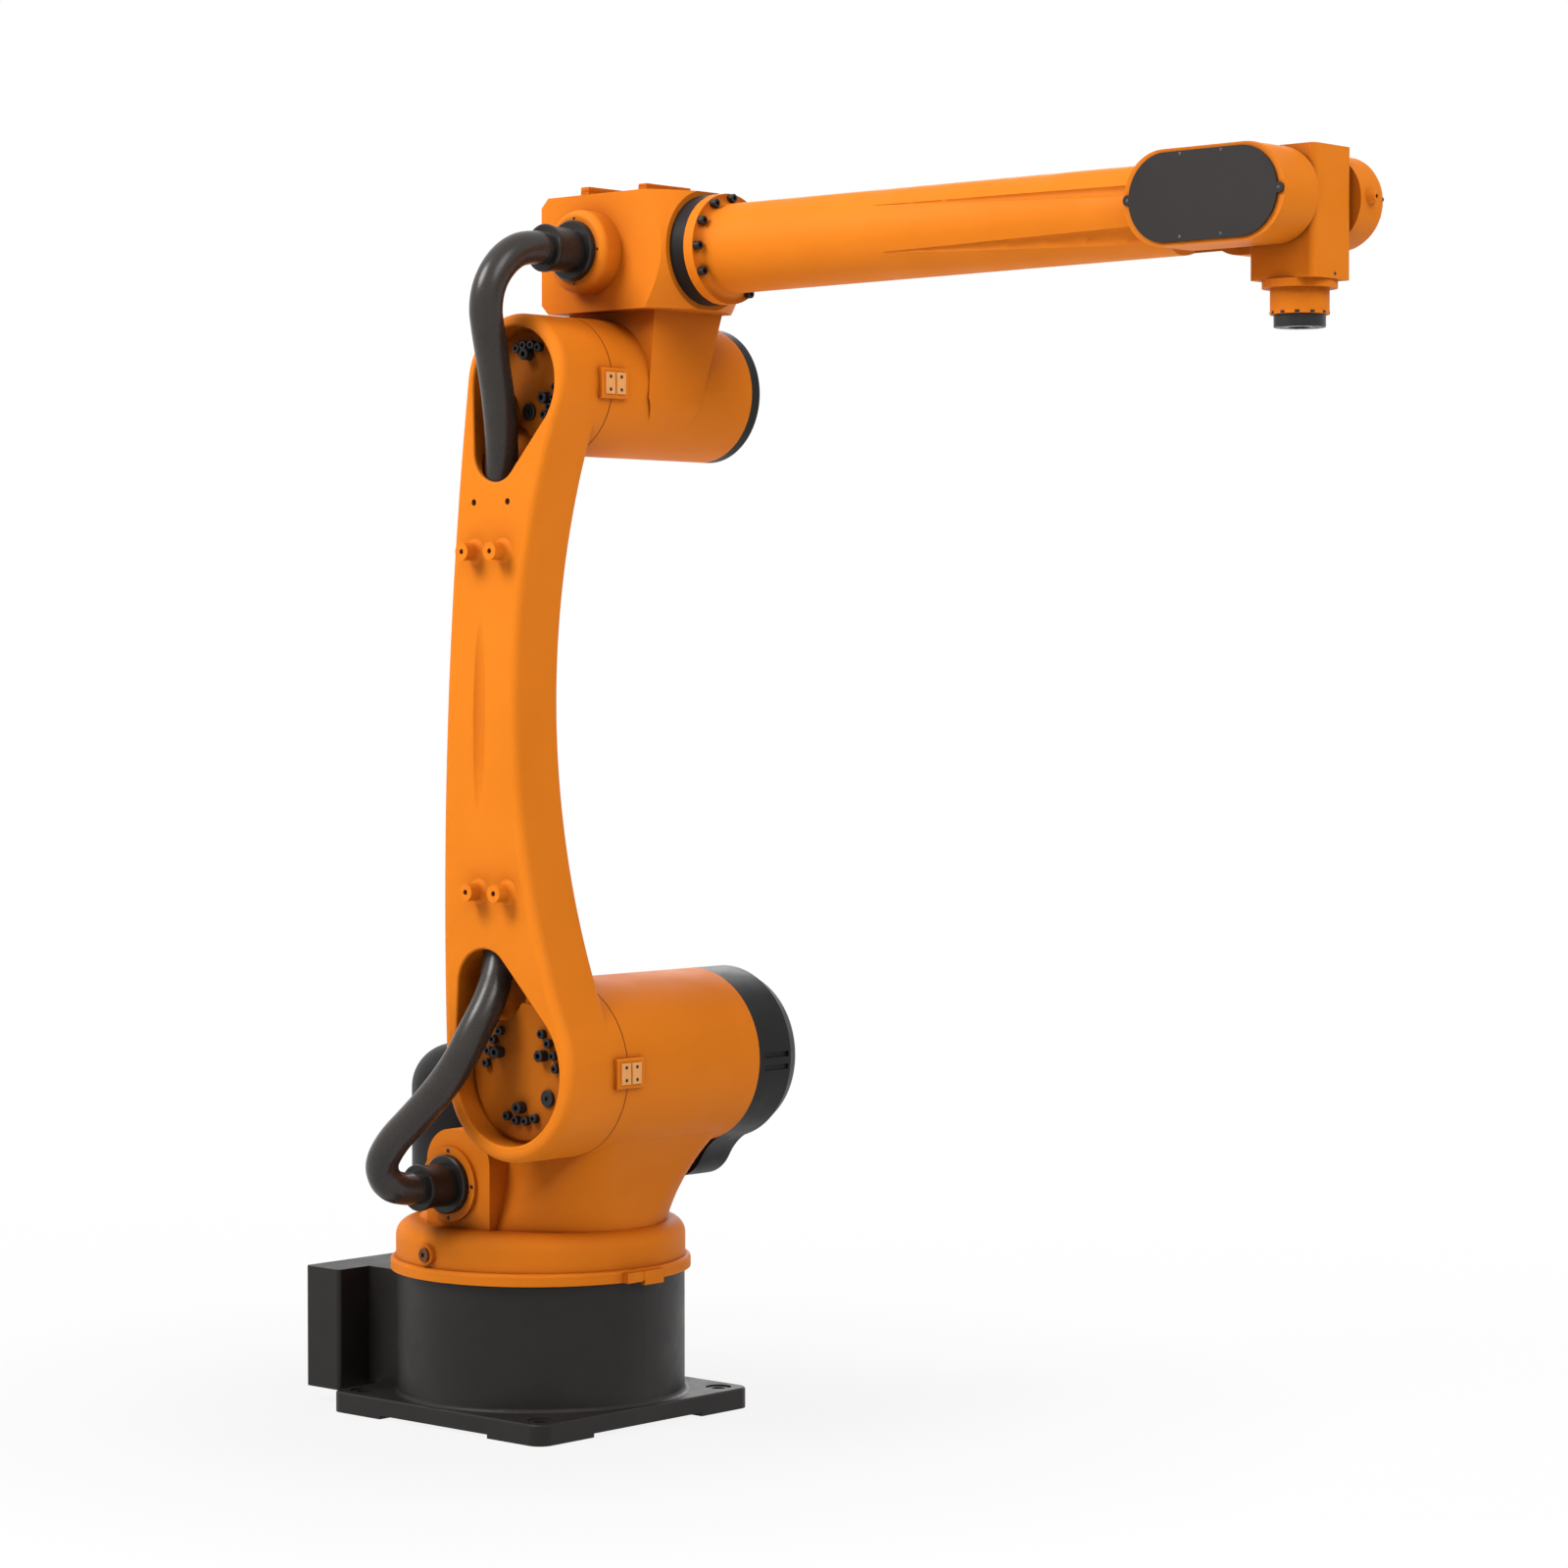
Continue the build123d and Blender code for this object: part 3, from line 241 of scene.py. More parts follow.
# Elbow
BAR_PADS = {"elbow_top_cover_rear": 4 * MM, "elbow_top_cover_front": 1 * MM}
BAR_LAP = 3 * MM
BAR_BREAK = 0.8 * MM
BAR_SCREW_INSET = 12 * MM
REAR_SCREW_INSET = 9 * MM
END_CAP_SCREW_R = 72 * MM
HOSE_BOSS_SCREW_R = 41 * MM

# Forearm
FLANGE_FACE = 15 * MM
FLANGE_SCREW_R = 63 * MM
FLANGE_SCREW_TURNS = (0, 30, 60, 90, 120, 150, 180, 210, 300, 330)
BELT_SCREW_BACKS = (86 * MM, 30 * MM)
BELT_SCREW_RISES = (-45 * MM, 47 * MM)
BELT_SCREW_INSET = 6 * MM

# Wrist: the small boss on the plain arm is given as (radius, height) points
ARM_NIPPLE = [(0, 4 * MM), (2.4 * MM, 4 * MM), (2.4 * MM, 9 * MM), (4.8 * MM, 9 * MM), (5.6 * MM, 8.2 * MM),
              (9.0 * MM, -1 * MM), (0, -1 * MM)]
NIPPLE_SINK = 1.2 * MM
NIPPLE_Y = 60 * MM
NIPPLE_RISE = 3 * MM
CAP_SCREW_SINK = 0.3 * MM
CAP_SCREW_INSET = 3 * MM
CAP_SCREW_RISE = 2 * MM
BLOCK_SCREW_Y = 4 * MM
BLOCK_SCREW_DROP = 86 * MM
SLOT_COUNT = 12
SLOT_DEPTH = 3 * MM
SLOT_PROUD = 0.3 * MM
SLOT_HALF = 2.6 * MM
SLOT_RISES = (0.4 * MM, 3.4 * MM)
SLOT_BREAK = 0.25 * MM


# Finishes

def wire(tree, source, target):
    tree.links.new(source, target)


def noise(tree, place, scale, detail):
    node = tree.nodes.new("ShaderNodeTexNoise")
    node.inputs["Scale"].default_value = scale
    node.inputs["Detail"].default_value = detail
    node.inputs["Roughness"].default_value = NOISE_ROUGHNESS
    wire(tree, place, node.inputs["Vector"])
    return node.outputs["Fac"]


def ranged(tree, value, from_range, to_range):
    """A value carried from one range to another."""
    node = tree.nodes.new("ShaderNodeMapRange")
    node.inputs["From Min"].default_value = from_range[0]
    node.inputs["From Max"].default_value = from_range[1]
    node.inputs["To Min"].default_value = to_range[0]
    node.inputs["To Max"].default_value = to_range[1]
    wire(tree, value, node.inputs["Value"])
    return node.outputs["Result"]


def two_tone(tree, value, dark, light):
    ramp = tree.nodes.new("ShaderNodeValToRGB")
    ends = ramp.color_ramp.elements
    ends[0].position = NOISE_MIDDLE[0]
    ends[0].color = (*dark, 1)
    ends[1].position = NOISE_MIDDLE[1]
    ends[1].color = (*light, 1)
    wire(tree, value, ramp.inputs["Fac"])
    return ramp.outputs["Color"]


def with_painted_shade(tree, colour, painted_shade):
    """The colour, drawn towards a darker tone in pockets and inner corners: painted shade, stronger where nearby
    surfaces close in.
    """
    corner = tree.nodes.new("ShaderNodeAmbientOcclusion")
    corner.samples = PAINTED_SHADE_SAMPLES
    corner.inputs["Distance"].default_value = PAINTED_SHADE_REACH
    openness = tree.nodes.new("ShaderNodeMath")
    openness.operation = "POWER"
    openness.inputs[1].default_value = PAINTED_SHADE_FALL
    wire(tree, corner.outputs["AO"], openness.inputs[0])
    mix = tree.nodes.new("ShaderNodeMix")
    mix.data_type = "RGBA"
    colours = [socket for socket in mix.inputs if socket.type == "RGBA"]
    colours[0].default_value = (*painted_shade, 1)
    wire(tree, openness.outputs["Value"], mix.inputs["Factor"])
    wire(tree, colour, colours[1])
    return [socket for socket in mix.outputs if socket.type == "RGBA"][0]


def coated(name, dark, light, patch, gloss, grain, depth, metallic=0.0, specular=0.5, painted_shade=None):
    """A paint, moulding or treated metal: patchy colour, uneven gloss and a fine grain in the surface, and, when a
    shade tone is given, painted shade in pockets and inner corners.
    """
    material = bpy.data.materials.new(name)
    material.use_nodes = True
    tree = material.node_tree
    shader = tree.nodes["Principled BSDF"]
    place = tree.nodes.new("ShaderNodeTexCoord").outputs["Object"]
    shader.inputs["Metallic"].default_value = metallic
    shader.inputs["Specular IOR Level"].default_value = specular
    colour = two_tone(tree, noise(tree, place, patch, COLOUR_DETAIL), dark, light)
    if painted_shade:
        colour = with_painted_shade(tree, colour, painted_shade)
    wire(tree, colour, shader.inputs["Base Color"])
    shine = noise(tree, place, GLOSS_FINER * patch, GLOSS_DETAIL)
    wire(tree, ranged(tree, shine, NOISE_MIDDLE, gloss), shader.inputs["Roughness"])
    bump = tree.nodes.new("ShaderNodeBump")
    bump.inputs["Strength"].default_value = GRAIN_STRENGTH
    bump.inputs["Distance"].default_value = depth
    wire(tree, noise(tree, place, grain, GRAIN_DETAIL), bump.inputs["Height"])
    wire(tree, bump.outputs["Normal"], shader.inputs["Normal"])
    return material


def make_finishes():
    """All finishes by name: a dark and a light colour, patches and grain per metre, gloss, grain depth, and for
    some a tone of painted shade for pockets and inner corners.
    """
    return {
        # The orange paint darkens towards a brown in pockets and inner corners: painted shade
        "orange_paint": coated(
            "orange_satin_paint", (0.84, 0.224, 0.0105), (0.895, 0.243, 0.0135), patch=7.0,
            gloss=(0.48, 0.60), grain=420.0, depth=0.12 * MM, specular=0.10, painted_shade=(0.36, 0.085, 0.0035)),
        # A darker copy of the orange paint for the reducer faces, painted shade for the deep pockets they sit in,
        # with a still darker painted shade in their corners
        "reducer_face_shaded_orange": coated(
            "reducer_face_painted_shade", (0.60, 0.158, 0.0075), (0.65, 0.172, 0.0095), patch=9.0,
            gloss=(0.50, 0.62), grain=420.0, depth=0.12 * MM, specular=0.10, painted_shade=(0.20, 0.046, 0.002)),
        "pale_orange": coated(
            "pale_orange_plate", (0.90, 0.40, 0.12), (0.96, 0.46, 0.15), patch=30.0,
            gloss=(0.35, 0.5), grain=1200.0, depth=0.1 * MM, specular=0.2),
        "dark_paint": coated(
            "dark_textured_paint", (0.012, 0.0098, 0.009), (0.018, 0.0152, 0.014), patch=9.0,
            gloss=(0.42, 0.54), grain=1100.0, depth=0.3 * MM, specular=0.26),
        "black_cover": coated(
            "black_moulded_cover", (0.009, 0.009, 0.009), (0.014, 0.014, 0.014), patch=12.0,
            gloss=(0.42, 0.52), grain=600.0, depth=0.05 * MM, specular=0.16),
        "plate_grey": coated(
            "dark_grey_plate", (0.026, 0.0225, 0.021), (0.033, 0.029, 0.027), patch=6.0,
            gloss=(0.42, 0.54), grain=1400.0, depth=0.1 * MM, specular=0.16),
        "black_oxide": coated(
            "black_oxide_steel", (0.012, 0.012, 0.0125), (0.022, 0.022, 0.023), patch=60.0,
            gloss=(0.3, 0.45), grain=2500.0, depth=0.05 * MM, metallic=0.2, specular=0.35),
        "hose_rubber": coated(
            "hose_sheath", (0.025, 0.0205, 0.0175), (0.034, 0.0285, 0.025), patch=25.0,
            gloss=(0.25, 0.31), grain=500.0, depth=0.002 * MM, specular=0.36),
        "gland_rubber": coated(
            "gland_sleeve", (0.011, 0.0095, 0.0085), (0.018, 0.0155, 0.014), patch=25.0,
            gloss=(0.28, 0.38), grain=500.0, depth=0.003 * MM, specular=0.26),
        "zinc": coated(
            "zinc_screw", (0.085, 0.085, 0.087), (0.14, 0.14, 0.143), patch=80.0,
            gloss=(0.3, 0.42), grain=900.0, depth=0.03 * MM, metallic=0.5),
        "bronze": coated(
            "bronze_plug", (0.11, 0.035, 0.008), (0.18, 0.06, 0.014), patch=60.0,
            gloss=(0.34, 0.48), grain=2000.0, depth=0.06 * MM, metallic=0.6),
        # A dark copy of the orange, painted shadow for the gap where a housing meets the arm
        "seam_shadow": coated(
            "seam_painted_shadow", (0.20, 0.05, 0.006), (0.27, 0.066, 0.008), patch=40.0,
            gloss=(0.6, 0.8), grain=900.0, depth=0.1 * MM, specular=0.1),
    }


FINISH = make_finishes()
NODE_FINISH = {
    "belt_cover": "plate_grey",
    "lower_hose_gland": "gland_rubber",
    "upper_hose_gland": "gland_rubber",
    # The reducer faces take the darker orange, painted shade for their pockets
    "shoulder_reducer_face": "reducer_face_shaded_orange",
    "elbow_reducer_face": "reducer_face_shaded_orange",
}


def dress_solids():
    """Each solid takes the finish of its slot, or one of its own."""
    for node, piece in frame["nodes"].items():
        piece.data.materials.clear()
        piece.data.materials.append(FINISH[NODE_FINISH.get(node, SLOT_OF[node])])


# Mesh helpers

def stand(point, normal):
    """A place whose local z stands along the normal."""
    facing = Vector(normal).to_track_quat("Z", "Y").to_matrix().to_4x4()
    return Matrix.Translation(point) @ facing


def spun(profile, closed=False, sides=SIDES):
    """A bmesh turned about local z from (radius, height) points; a closed profile gives a ring."""
    bm = bmesh.new()
    verts = [bm.verts.new((radius, 0, height)) for radius, height in profile]
    pairs = list(zip(verts, verts[1:]))
    if closed:
        pairs.append((verts[-1], verts[0]))
    edges = [bm.edges.new(pair) for pair in pairs]
    bmesh.ops.spin(bm, geom=verts + edges, cent=(0, 0, 0), axis=UP, angle=2 * pi, steps=sides,
                   use_merge=True)
    bmesh.ops.remove_doubles(bm, verts=bm.verts, dist=WELD)
    bmesh.ops.recalc_face_normals(bm, faces=bm.faces)
    return bm


def bevelled_block(low, high, bevel):
    """A block between two corners, with its edges broken."""
    bm = bmesh.new()
    low, high = Vector(low), Vector(high)
    bmesh.ops.create_cube(bm, size=1.0)
    bmesh.ops.scale(bm, vec=high - low, verts=bm.verts)
    bmesh.ops.translate(bm, vec=(low + high) / 2, verts=bm.verts)
    bmesh.ops.bevel(bm, geom=bm.edges[:], offset=bevel, offset_type="OFFSET", affect="EDGES",
                    segments=BEVEL_STEPS, profile=0.5, material=-1)
    return bm


def placed(shape, place):
    """The shape, moved to its place."""
    bmesh.ops.transform(shape, matrix=place, verts=shape.verts)
    return shape


def gathered(shapes):
    """One bmesh that holds several, each (shape, place)."""
    whole = bmesh.new()
    for shape, place in shapes:
        part = bpy.data.meshes.new("part")
        shape.to_mesh(part)
        start = len(whole.verts)
        whole.from_mesh(part)
        whole.verts.ensure_lookup_table()
        bmesh.ops.transform(whole, matrix=place, verts=whole.verts[start:])
        bpy.data.meshes.remove(part)
    return whole


def mount(name, bm, finish, body):
    """Turn a bmesh into a finished piece that moves with a body."""
    mesh = bpy.data.meshes.new(name)
    bm.to_mesh(mesh)
    bm.free()
    mesh.shade_smooth()
    mesh.set_sharp_from_angle(angle=radians(CREASE))
    piece = bpy.data.objects.new(name, mesh)
    bpy.context.scene.collection.objects.link(piece)
    mesh.materials.append(FINISH[finish])
    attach(piece, body)
    return piece


def socket_head(radius, height, socket, depth):
    """A round head with a six-sided socket, standing on local z = 0."""
    bm = spun([(0, height - depth), (socket, height - depth), (socket, height), (radius - BREAK, height),
               (radius, height - BREAK), (radius, 0), (0, 0)])
    for vert in bm.verts:
        if abs(vert.co.xy.length - socket) < 0.01 * socket:
            turn = vert.co.xy.angle_signed(Vector((1, 0))) % (pi / 3) - pi / 6
            vert.co.xy *= cos(pi / 6) / cos(turn)
    return bm


def screws(name, size, places, body, finish="black_oxide"):
    """Like screws or plugs at several places, as one piece."""
    head = socket_head(*size)
    mount(name, gathered([(head, place) for place in places]), finish, body)
    head.free()


def on_circle(centre, radius, degrees, face_y):
    """A point on a circle round an axis along Y, angles from +X towards +Z."""
    turn = radians(degrees)
    return Vector((centre.x + radius * cos(turn), face_y, centre.z + radius * sin(turn)))


def ring_places(centre, radius, count, face_y, normal, first=0):
    """Places evenly round an axis along Y, standing along the normal."""
    step = 360 / count
    return [stand(on_circle(centre, radius, first + step * i, face_y), normal) for i in range(count)]


def corner_places(node, inset, normal):
    """The four corners of a node's outer face across the normal."""
    low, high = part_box(node)
    across = [i for i in range(3) if not normal[i]]
    places = []
    for first in (low[across[0]] + inset, high[across[0]] - inset):
        for second in (low[across[1]] + inset, high[across[1]] - inset):
            point = [high[i] if normal[i] > 0 else low[i] for i in range(3)]
            point[across[0]] = first
            point[across[1]] = second
            places.append(stand(point, normal))
    return places


# Hoses

def route_curve(name, route):
    curve = bpy.data.curves.new(name, "CURVE")
    curve.dimensions = "3D"
    curve.resolution_u = HOSE_LINE_STEPS
    curve.twist_mode = "MINIMUM"
    spline = curve.splines.new("NURBS")
    spline.points.add(len(route) - 1)
    for point, place in zip(spline.points, route):
        point.co = (*place, 1)
    spline.order_u = 3
    spline.use_endpoint_u = True
    return curve


def mesh_of(name, curve):
    holder = bpy.data.objects.new(name, curve)
    bpy.context.scene.collection.objects.link(holder)
    bpy.context.view_layer.update()
    mesh = bpy.data.meshes.new_from_object(holder.evaluated_get(bpy.context.evaluated_depsgraph_get()))
    bpy.data.objects.remove(holder)
    return mesh


def make_hose(name, node, route):
    """A smooth tube along the route, in place of the plain solid."""
    curve = route_curve(name, route)
    line = [vert.co[:] for vert in mesh_of(name + "_line", curve).vertices]
    curve.bevel_depth = HOSE_DIAMETER / 2
    curve.bevel_resolution = HOSE_ROUND_STEPS
    curve.use_fill_caps = True
    tube = mesh_of(name + "_tube", curve)
    bm = bmesh.new()
    bm.from_mesh(tube)
    bmesh.ops.remove_doubles(bm, verts=bm.verts, dist=WELD)
    bmesh.ops.recalc_face_normals(bm, faces=bm.faces)
    mesh = bpy.data.meshes.new(name)
    bm.to_mesh(mesh)
    bm.free()
    mesh.shade_smooth()
    mesh.set_sharp_from_angle(angle=radians(HOSE_CREASE))
    mesh.materials.clear()
    mesh.materials.append(FINISH["hose_rubber"])
    piece = bpy.data.objects.new(name, mesh)
    bpy.context.scene.collection.objects.link(piece)
    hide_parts(node)
    return piece


def make_hoses():
    lower = make_hose("lower_hose_sheath", "lower_hose", LOWER_HOSE_ROUTE)
    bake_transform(lower)
    inner = make_hose("arm_hose_sheath", "arm_hose", ARM_HOSE_ROUTE)
    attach(inner, "lower_arm")
    upper = make_hose("upper_hose_sheath", "upper_hose", UPPER_HOSE_ROUTE)
    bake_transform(upper)


def make_gland_lips():
    """A rounded lip at the mouth of each gland sleeve."""
    inner = GLAND_R - LIP_SEAT
    outer = GLAND_R + LIP_HEIGHT
    lip = [(inner, 0), (outer - LIP_ROUND, 0), (outer, 1.5 * LIP_ROUND), (outer, LIP_LENGTH - 2 * LIP_ROUND),
           (outer - LIP_ROUND, LIP_LENGTH), (inner, LIP_LENGTH)]
    for node, body in (("lower_hose_gland", "turntable"), ("upper_hose_gland", "elbow")):
        low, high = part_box(node)
        mouth = Vector(((low.x + high.x) / 2, low.y - LIP_OUT, (low.z + high.z) / 2))
        ring = placed(spun(lip, closed=True, sides=LIP_SIDES), stand(mouth, LEFT))
        mount(node + "_lip", ring, "gland_rubber", body)


# Lower arm

def make_reducer_screws():
    """On each reducer face: three groups of one long and four short screws, and an oil plug."""
    for side, (groups, long_r, short_r, plug) in REDUCERS.items():
        axis = AXIS[side]
        face_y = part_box(side + "_reducer_face")[0].y
        long_places = [stand(on_circle(axis, long_r, middle, face_y), RIGHT) for middle in groups]
        short_places = [stand(on_circle(axis, short_r, middle + step, face_y), RIGHT)
                        for middle in groups for step in SHORT_SCREW_STEPS]
        screws(side + "_reducer_long_screws", LONG_SCREW, long_places, "lower_arm")
        screws(side + "_reducer_short_screws", SHORT_SCREW, short_places, "lower_arm")
        screws(side + "_oil_plug", OIL_PLUG, [stand(on_circle(axis, *plug, face_y), RIGHT)], "lower_arm")


def housing_radius(side):
    """The radius of the round housing at one end of the arm, read from the cap that closes it."""
    cap = {"shoulder": "shoulder_motor_cover", "elbow": "elbow_end_cap"}[side]
    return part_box(cap)[1].x - AXIS[side].x


def back_arc():
    """Centre of the arm's long back arc, and the angles at which it leaves the two round ends."""
    low, high = AXIS["shoulder"], AXIS["elbow"]
    low_reach = ARM_BACK_R - housing_radius("shoulder")
    high_reach = ARM_BACK_R - housing_radius("elbow")
    length = high.z - low.z
    rise = (low_reach ** 2 - high_reach ** 2 + length ** 2) / (2 * length)
    centre = Vector((low.x + (low_reach ** 2 - rise ** 2) ** 0.5, 0, low.z + rise))
    angles = [atan2(end.z - centre.z, end.x - centre.x) % (2 * pi) for end in (low, high)]
    return centre, angles


def make_back_rim():
    """The long round of the arm's back edge, on the side towards the housings."""
    centre, (start, end) = back_arc()
    core_r = ARM_BACK_R - ARM_EDGE
    core_y = ARM_FAR_Y - ARM_EDGE
    round_r = ARM_EDGE + RIM_SKIN
    profile = [(core_r, core_y)]
    for degrees in RIM_TURNS:
        turn = radians(degrees)
        profile.append((core_r + round_r * cos(turn), core_y + round_r * sin(turn)))
    bm = bmesh.new()
    verts = [bm.verts.new((centre.x + r * cos(start), y, centre.z + r * sin(start))) for r, y in profile]
    edges = [bm.edges.new(pair) for pair in zip(verts, verts[1:] + verts[:1])]
    bmesh.ops.spin(bm, geom=verts + edges, cent=centre, axis=LEFT, angle=start - end, steps=RIM_STEPS)
    bmesh.ops.holes_fill(bm, edges=[edge for edge in bm.edges if edge.is_boundary], sides=0)
    bmesh.ops.recalc_face_normals(bm, faces=bm.faces)
    mount("arm_back_rim", bm, "orange_paint", "lower_arm")


def arm_holes(prefix, depth):
    """The radius of each hole of the arm's hole pairs, and a place that lies this deep behind its face."""
    for row in MOUNTS:
        if row["name"].startswith(prefix):
            half = row["dims"]["spacing_x_mm"] / 2 * MM
            for step in (-half, half):
                point = Vector(row["pos_m"]) + Vector((step, depth, 0))
                yield row["dims"]["hole_r_mm"] * MM, stand(point, RIGHT)


def make_boss_flares():
    """The cast flare at the foot of each boss on the arm."""
    foot_r = BOSS_R + FLARE_REACH
    flare = [(BOSS_R - FLARE_LAP, -FLARE_SINK), (foot_r, -FLARE_SINK), (foot_r, 0)]
    for step in range(1, FLARE_STEPS + 1):
        turn = pi / 2 * step / FLARE_STEPS
        flare.append((BOSS_R + FLARE_REACH * (1 - sin(turn)), FLARE_RISE * (1 - cos(turn))))
    flare.append((BOSS_R - FLARE_LAP, FLARE_RISE))
    shape = spun(flare, closed=True)
    flares = gathered([(shape, place) for _, place in arm_holes("arm_bosses", BOSS_LENGTH)])
    shape.free()
    mount("arm_boss_flares", flares, "orange_paint", "lower_arm")


def make_hole_shade_discs():
    """Dark discs deep inside the tapped holes of the lower arm: painted shade in the holes."""
    discs = []
    for hole_r, place in arm_holes("arm_", HOLE_SHADE_DEPTH):
        radius = hole_r - HOLE_SHADE_SLACK
        discs.append((spun([(0, HOLE_SHADE_LENGTH), (radius, HOLE_SHADE_LENGTH), (radius, 0), (0, 0)]), place))
    mount("arm_hole_shade_discs", gathered(discs), "black_oxide", "lower_arm")


def make_seam_rings():
    """The thin dark line where each housing meets the arm: a ring that carries the painted shadow of the gap."""
    seam_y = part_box("shoulder_zero_mark_fixed")[0].y - SEAM_GAP
    for side in ("shoulder", "elbow"):
        axis = AXIS[side]
        inner = housing_radius(side) - SEAM_DEPTH
        outer = housing_radius(side) + SEAM_PROUD
        line = [(inner, -SEAM_HALF), (outer, -SEAM_HALF), (outer, SEAM_HALF), (inner, SEAM_HALF)]
        place = stand((axis.x, seam_y, axis.z), RIGHT)
        ring = placed(spun(line, closed=True, sides=SEAM_SIDES), place)
        mount(side + "_seam_line", ring, "seam_shadow", "lower_arm")


def make_zero_mark_plates():
    """On each half of a zero mark: a bare plate held by two small screws."""
    for node, (body, towards_seam) in ZERO_MARKS.items():
        low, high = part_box(node)
        middle = (low + high) / 2
        face_x = high.x + MARK_RISE
        centre_y = middle.y + towards_seam * MARK_SHIFT
        plate = bevelled_block((high.x - MARK_SINK, centre_y - MARK_HALF_Y, middle.z - MARK_HALF_Z),
                               (face_x, centre_y + MARK_HALF_Y, middle.z + MARK_HALF_Z), MARK_BREAK)
        mount(node + "_plate", plate, "pale_orange", body)
        places = [stand((face_x - MARK_SCREW_SINK, centre_y, middle.z + rise), AHEAD)
                  for rise in (-MARK_SCREW_RISE, MARK_SCREW_RISE)]
        screws(node + "_screws", MARK_SCREW, places, body)


# Turntable and base

def make_turntable_fittings():
    plate_low, plate_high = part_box("hose_outlet_plate")
    centre = (plate_low + plate_high) / 2
    screws("outlet_plate_screws", SMALL_SCREW, ring_places(centre, OUTLET_SCREW_R, 4, plate_low.y, RIGHT),
           "turntable")
    turn = radians(GREASE_TURN)
    outwards = Vector((cos(turn), sin(turn), 0))
    seat = GREASE_REACH * outwards + GREASE_Z * Vector(UP)
    screws("grease_plug", GREASE_PLUG, [stand(seat, outwards)], "turntable", finish="bronze")
    rim = AXIS["turn"]
    bridge = bevelled_block(*[rim + Vector(corner) for corner in RIM_BRIDGE], RIM_BRIDGE_BREAK)
    mount("rim_mark_bridge", bridge, "orange_paint", "turntable")
    cover_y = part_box("shoulder_motor_cover")[1].y
    places = ring_places(AXIS["shoulder"], MOTOR_COVER_SCREW_R, 6, cover_y, LEFT, first=30)
    screws("shoulder_cover_screws", COVER_SCREW, places, "turntable")


def make_connector_fittings():
    panel_low, panel_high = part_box("connector_panel")
    places = []
    for y in (panel_low.y + PANEL_INSET, 0, panel_high.y - PANEL_INSET):
        for z in (panel_low.z + PANEL_INSET, panel_high.z - PANEL_INSET):
            places.append(stand((panel_low.x, y, z), BEHIND))
    screws("connector_panel_screws", COVER_SCREW, places, "base")
    hood_low, hood_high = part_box("connector_hoods")
    levers = []
    for hood_y in HOOD_YS:
        for edge in (hood_y - LEVER_Y, hood_y + LEVER_Y):
            low = (hood_low.x + LEVER_BACK, edge - LEVER_HALF, hood_low.z + LEVER_INSET)
            high = (hood_high.x - LEVER_FRONT, edge + LEVER_HALF, hood_high.z - LEVER_INSET)
            levers.append((bevelled_block(low, high, LEVER_BREAK), Matrix.Identity(4)))
    mount("connector_hood_levers", gathered(levers), "black_oxide", "base")


# Elbow, forearm and wrist

def make_web_foot():
    """The foot of the elbow's pillar, where its front runs out into the round housing."""
    axis = AXIS["elbow"]
    turn = radians(WEB_RUN_OUT)
    brow, knee = [Vector((ahead, 0, up)) for ahead, up in (WEB_BROW, WEB_KNEE)]
    toe = housing_radius("elbow") * Vector((cos(turn), 0, -sin(turn)))
    above_toe = toe + WEB_SOFTNESS * Vector((sin(turn), 0, cos(turn)))
    below_knee = knee - WEB_SOFTNESS * Vector(UP)
    front = interpolate_bezier(knee, below_knee, above_toe, toe, WEB_STEPS)
    outline = [brow, *front, WEB_SEAT * toe, WEB_SEAT * brow]
    bm = bmesh.new()
    near = bm.faces.new([bm.verts.new(axis + point) for point in outline])
    far = bmesh.ops.extrude_face_region(bm, geom=[near])["geom"]
    far_verts = {part for part in far if isinstance(part, bmesh.types.BMVert)}
    for vert in bm.verts:
        drop = axis.z + knee.z - vert.co.z
        if vert in far_verts:
            vert.co.y = WEB_FOOT_Y[1] - WEB_LEANS[1] * drop
        else:
            vert.co.y = WEB_FOOT_Y[0] + max(WEB_TUCK * drop, -WEB_LEANS[0] * drop)
    bmesh.ops.recalc_face_normals(bm, faces=bm.faces)
    mount("elbow_web_foot", bm, "orange_paint", "elbow")


def make_elbow_fittings():
    for node, pad in BAR_PADS.items():
        low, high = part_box(node)
        top = high.z + pad
        strip = bevelled_block((low.x, low.y, high.z - BAR_LAP), (high.x, high.y, top), BAR_BREAK)
        mount(node + "_pad", strip, "orange_paint", "elbow")
        middle_x = (low.x + high.x) / 2
        places = [stand((middle_x, y, top), UP) for y in (low.y + BAR_SCREW_INSET, high.y - BAR_SCREW_INSET)]
        screws(node + "_screws", FLUSH_SCREW, places, "elbow")
    places = corner_places("elbow_rear_cover", REAR_SCREW_INSET, BEHIND)
    screws("elbow_rear_cover_screws", COVER_SCREW, places, "elbow")
    cap_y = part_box("elbow_end_cap")[1].y
    places = ring_places(AXIS["elbow"], END_CAP_SCREW_R, 6, cap_y, LEFT)
    screws("elbow_end_cap_screws", COVER_SCREW, places, "elbow")
    gland_low, gland_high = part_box("upper_hose_gland")
    centre = (gland_low + gland_high) / 2
    places = ring_places(centre, HOSE_BOSS_SCREW_R, 4, gland_high.y, RIGHT)
    screws("hose_boss_screws", TINY_SCREW, places, "elbow")


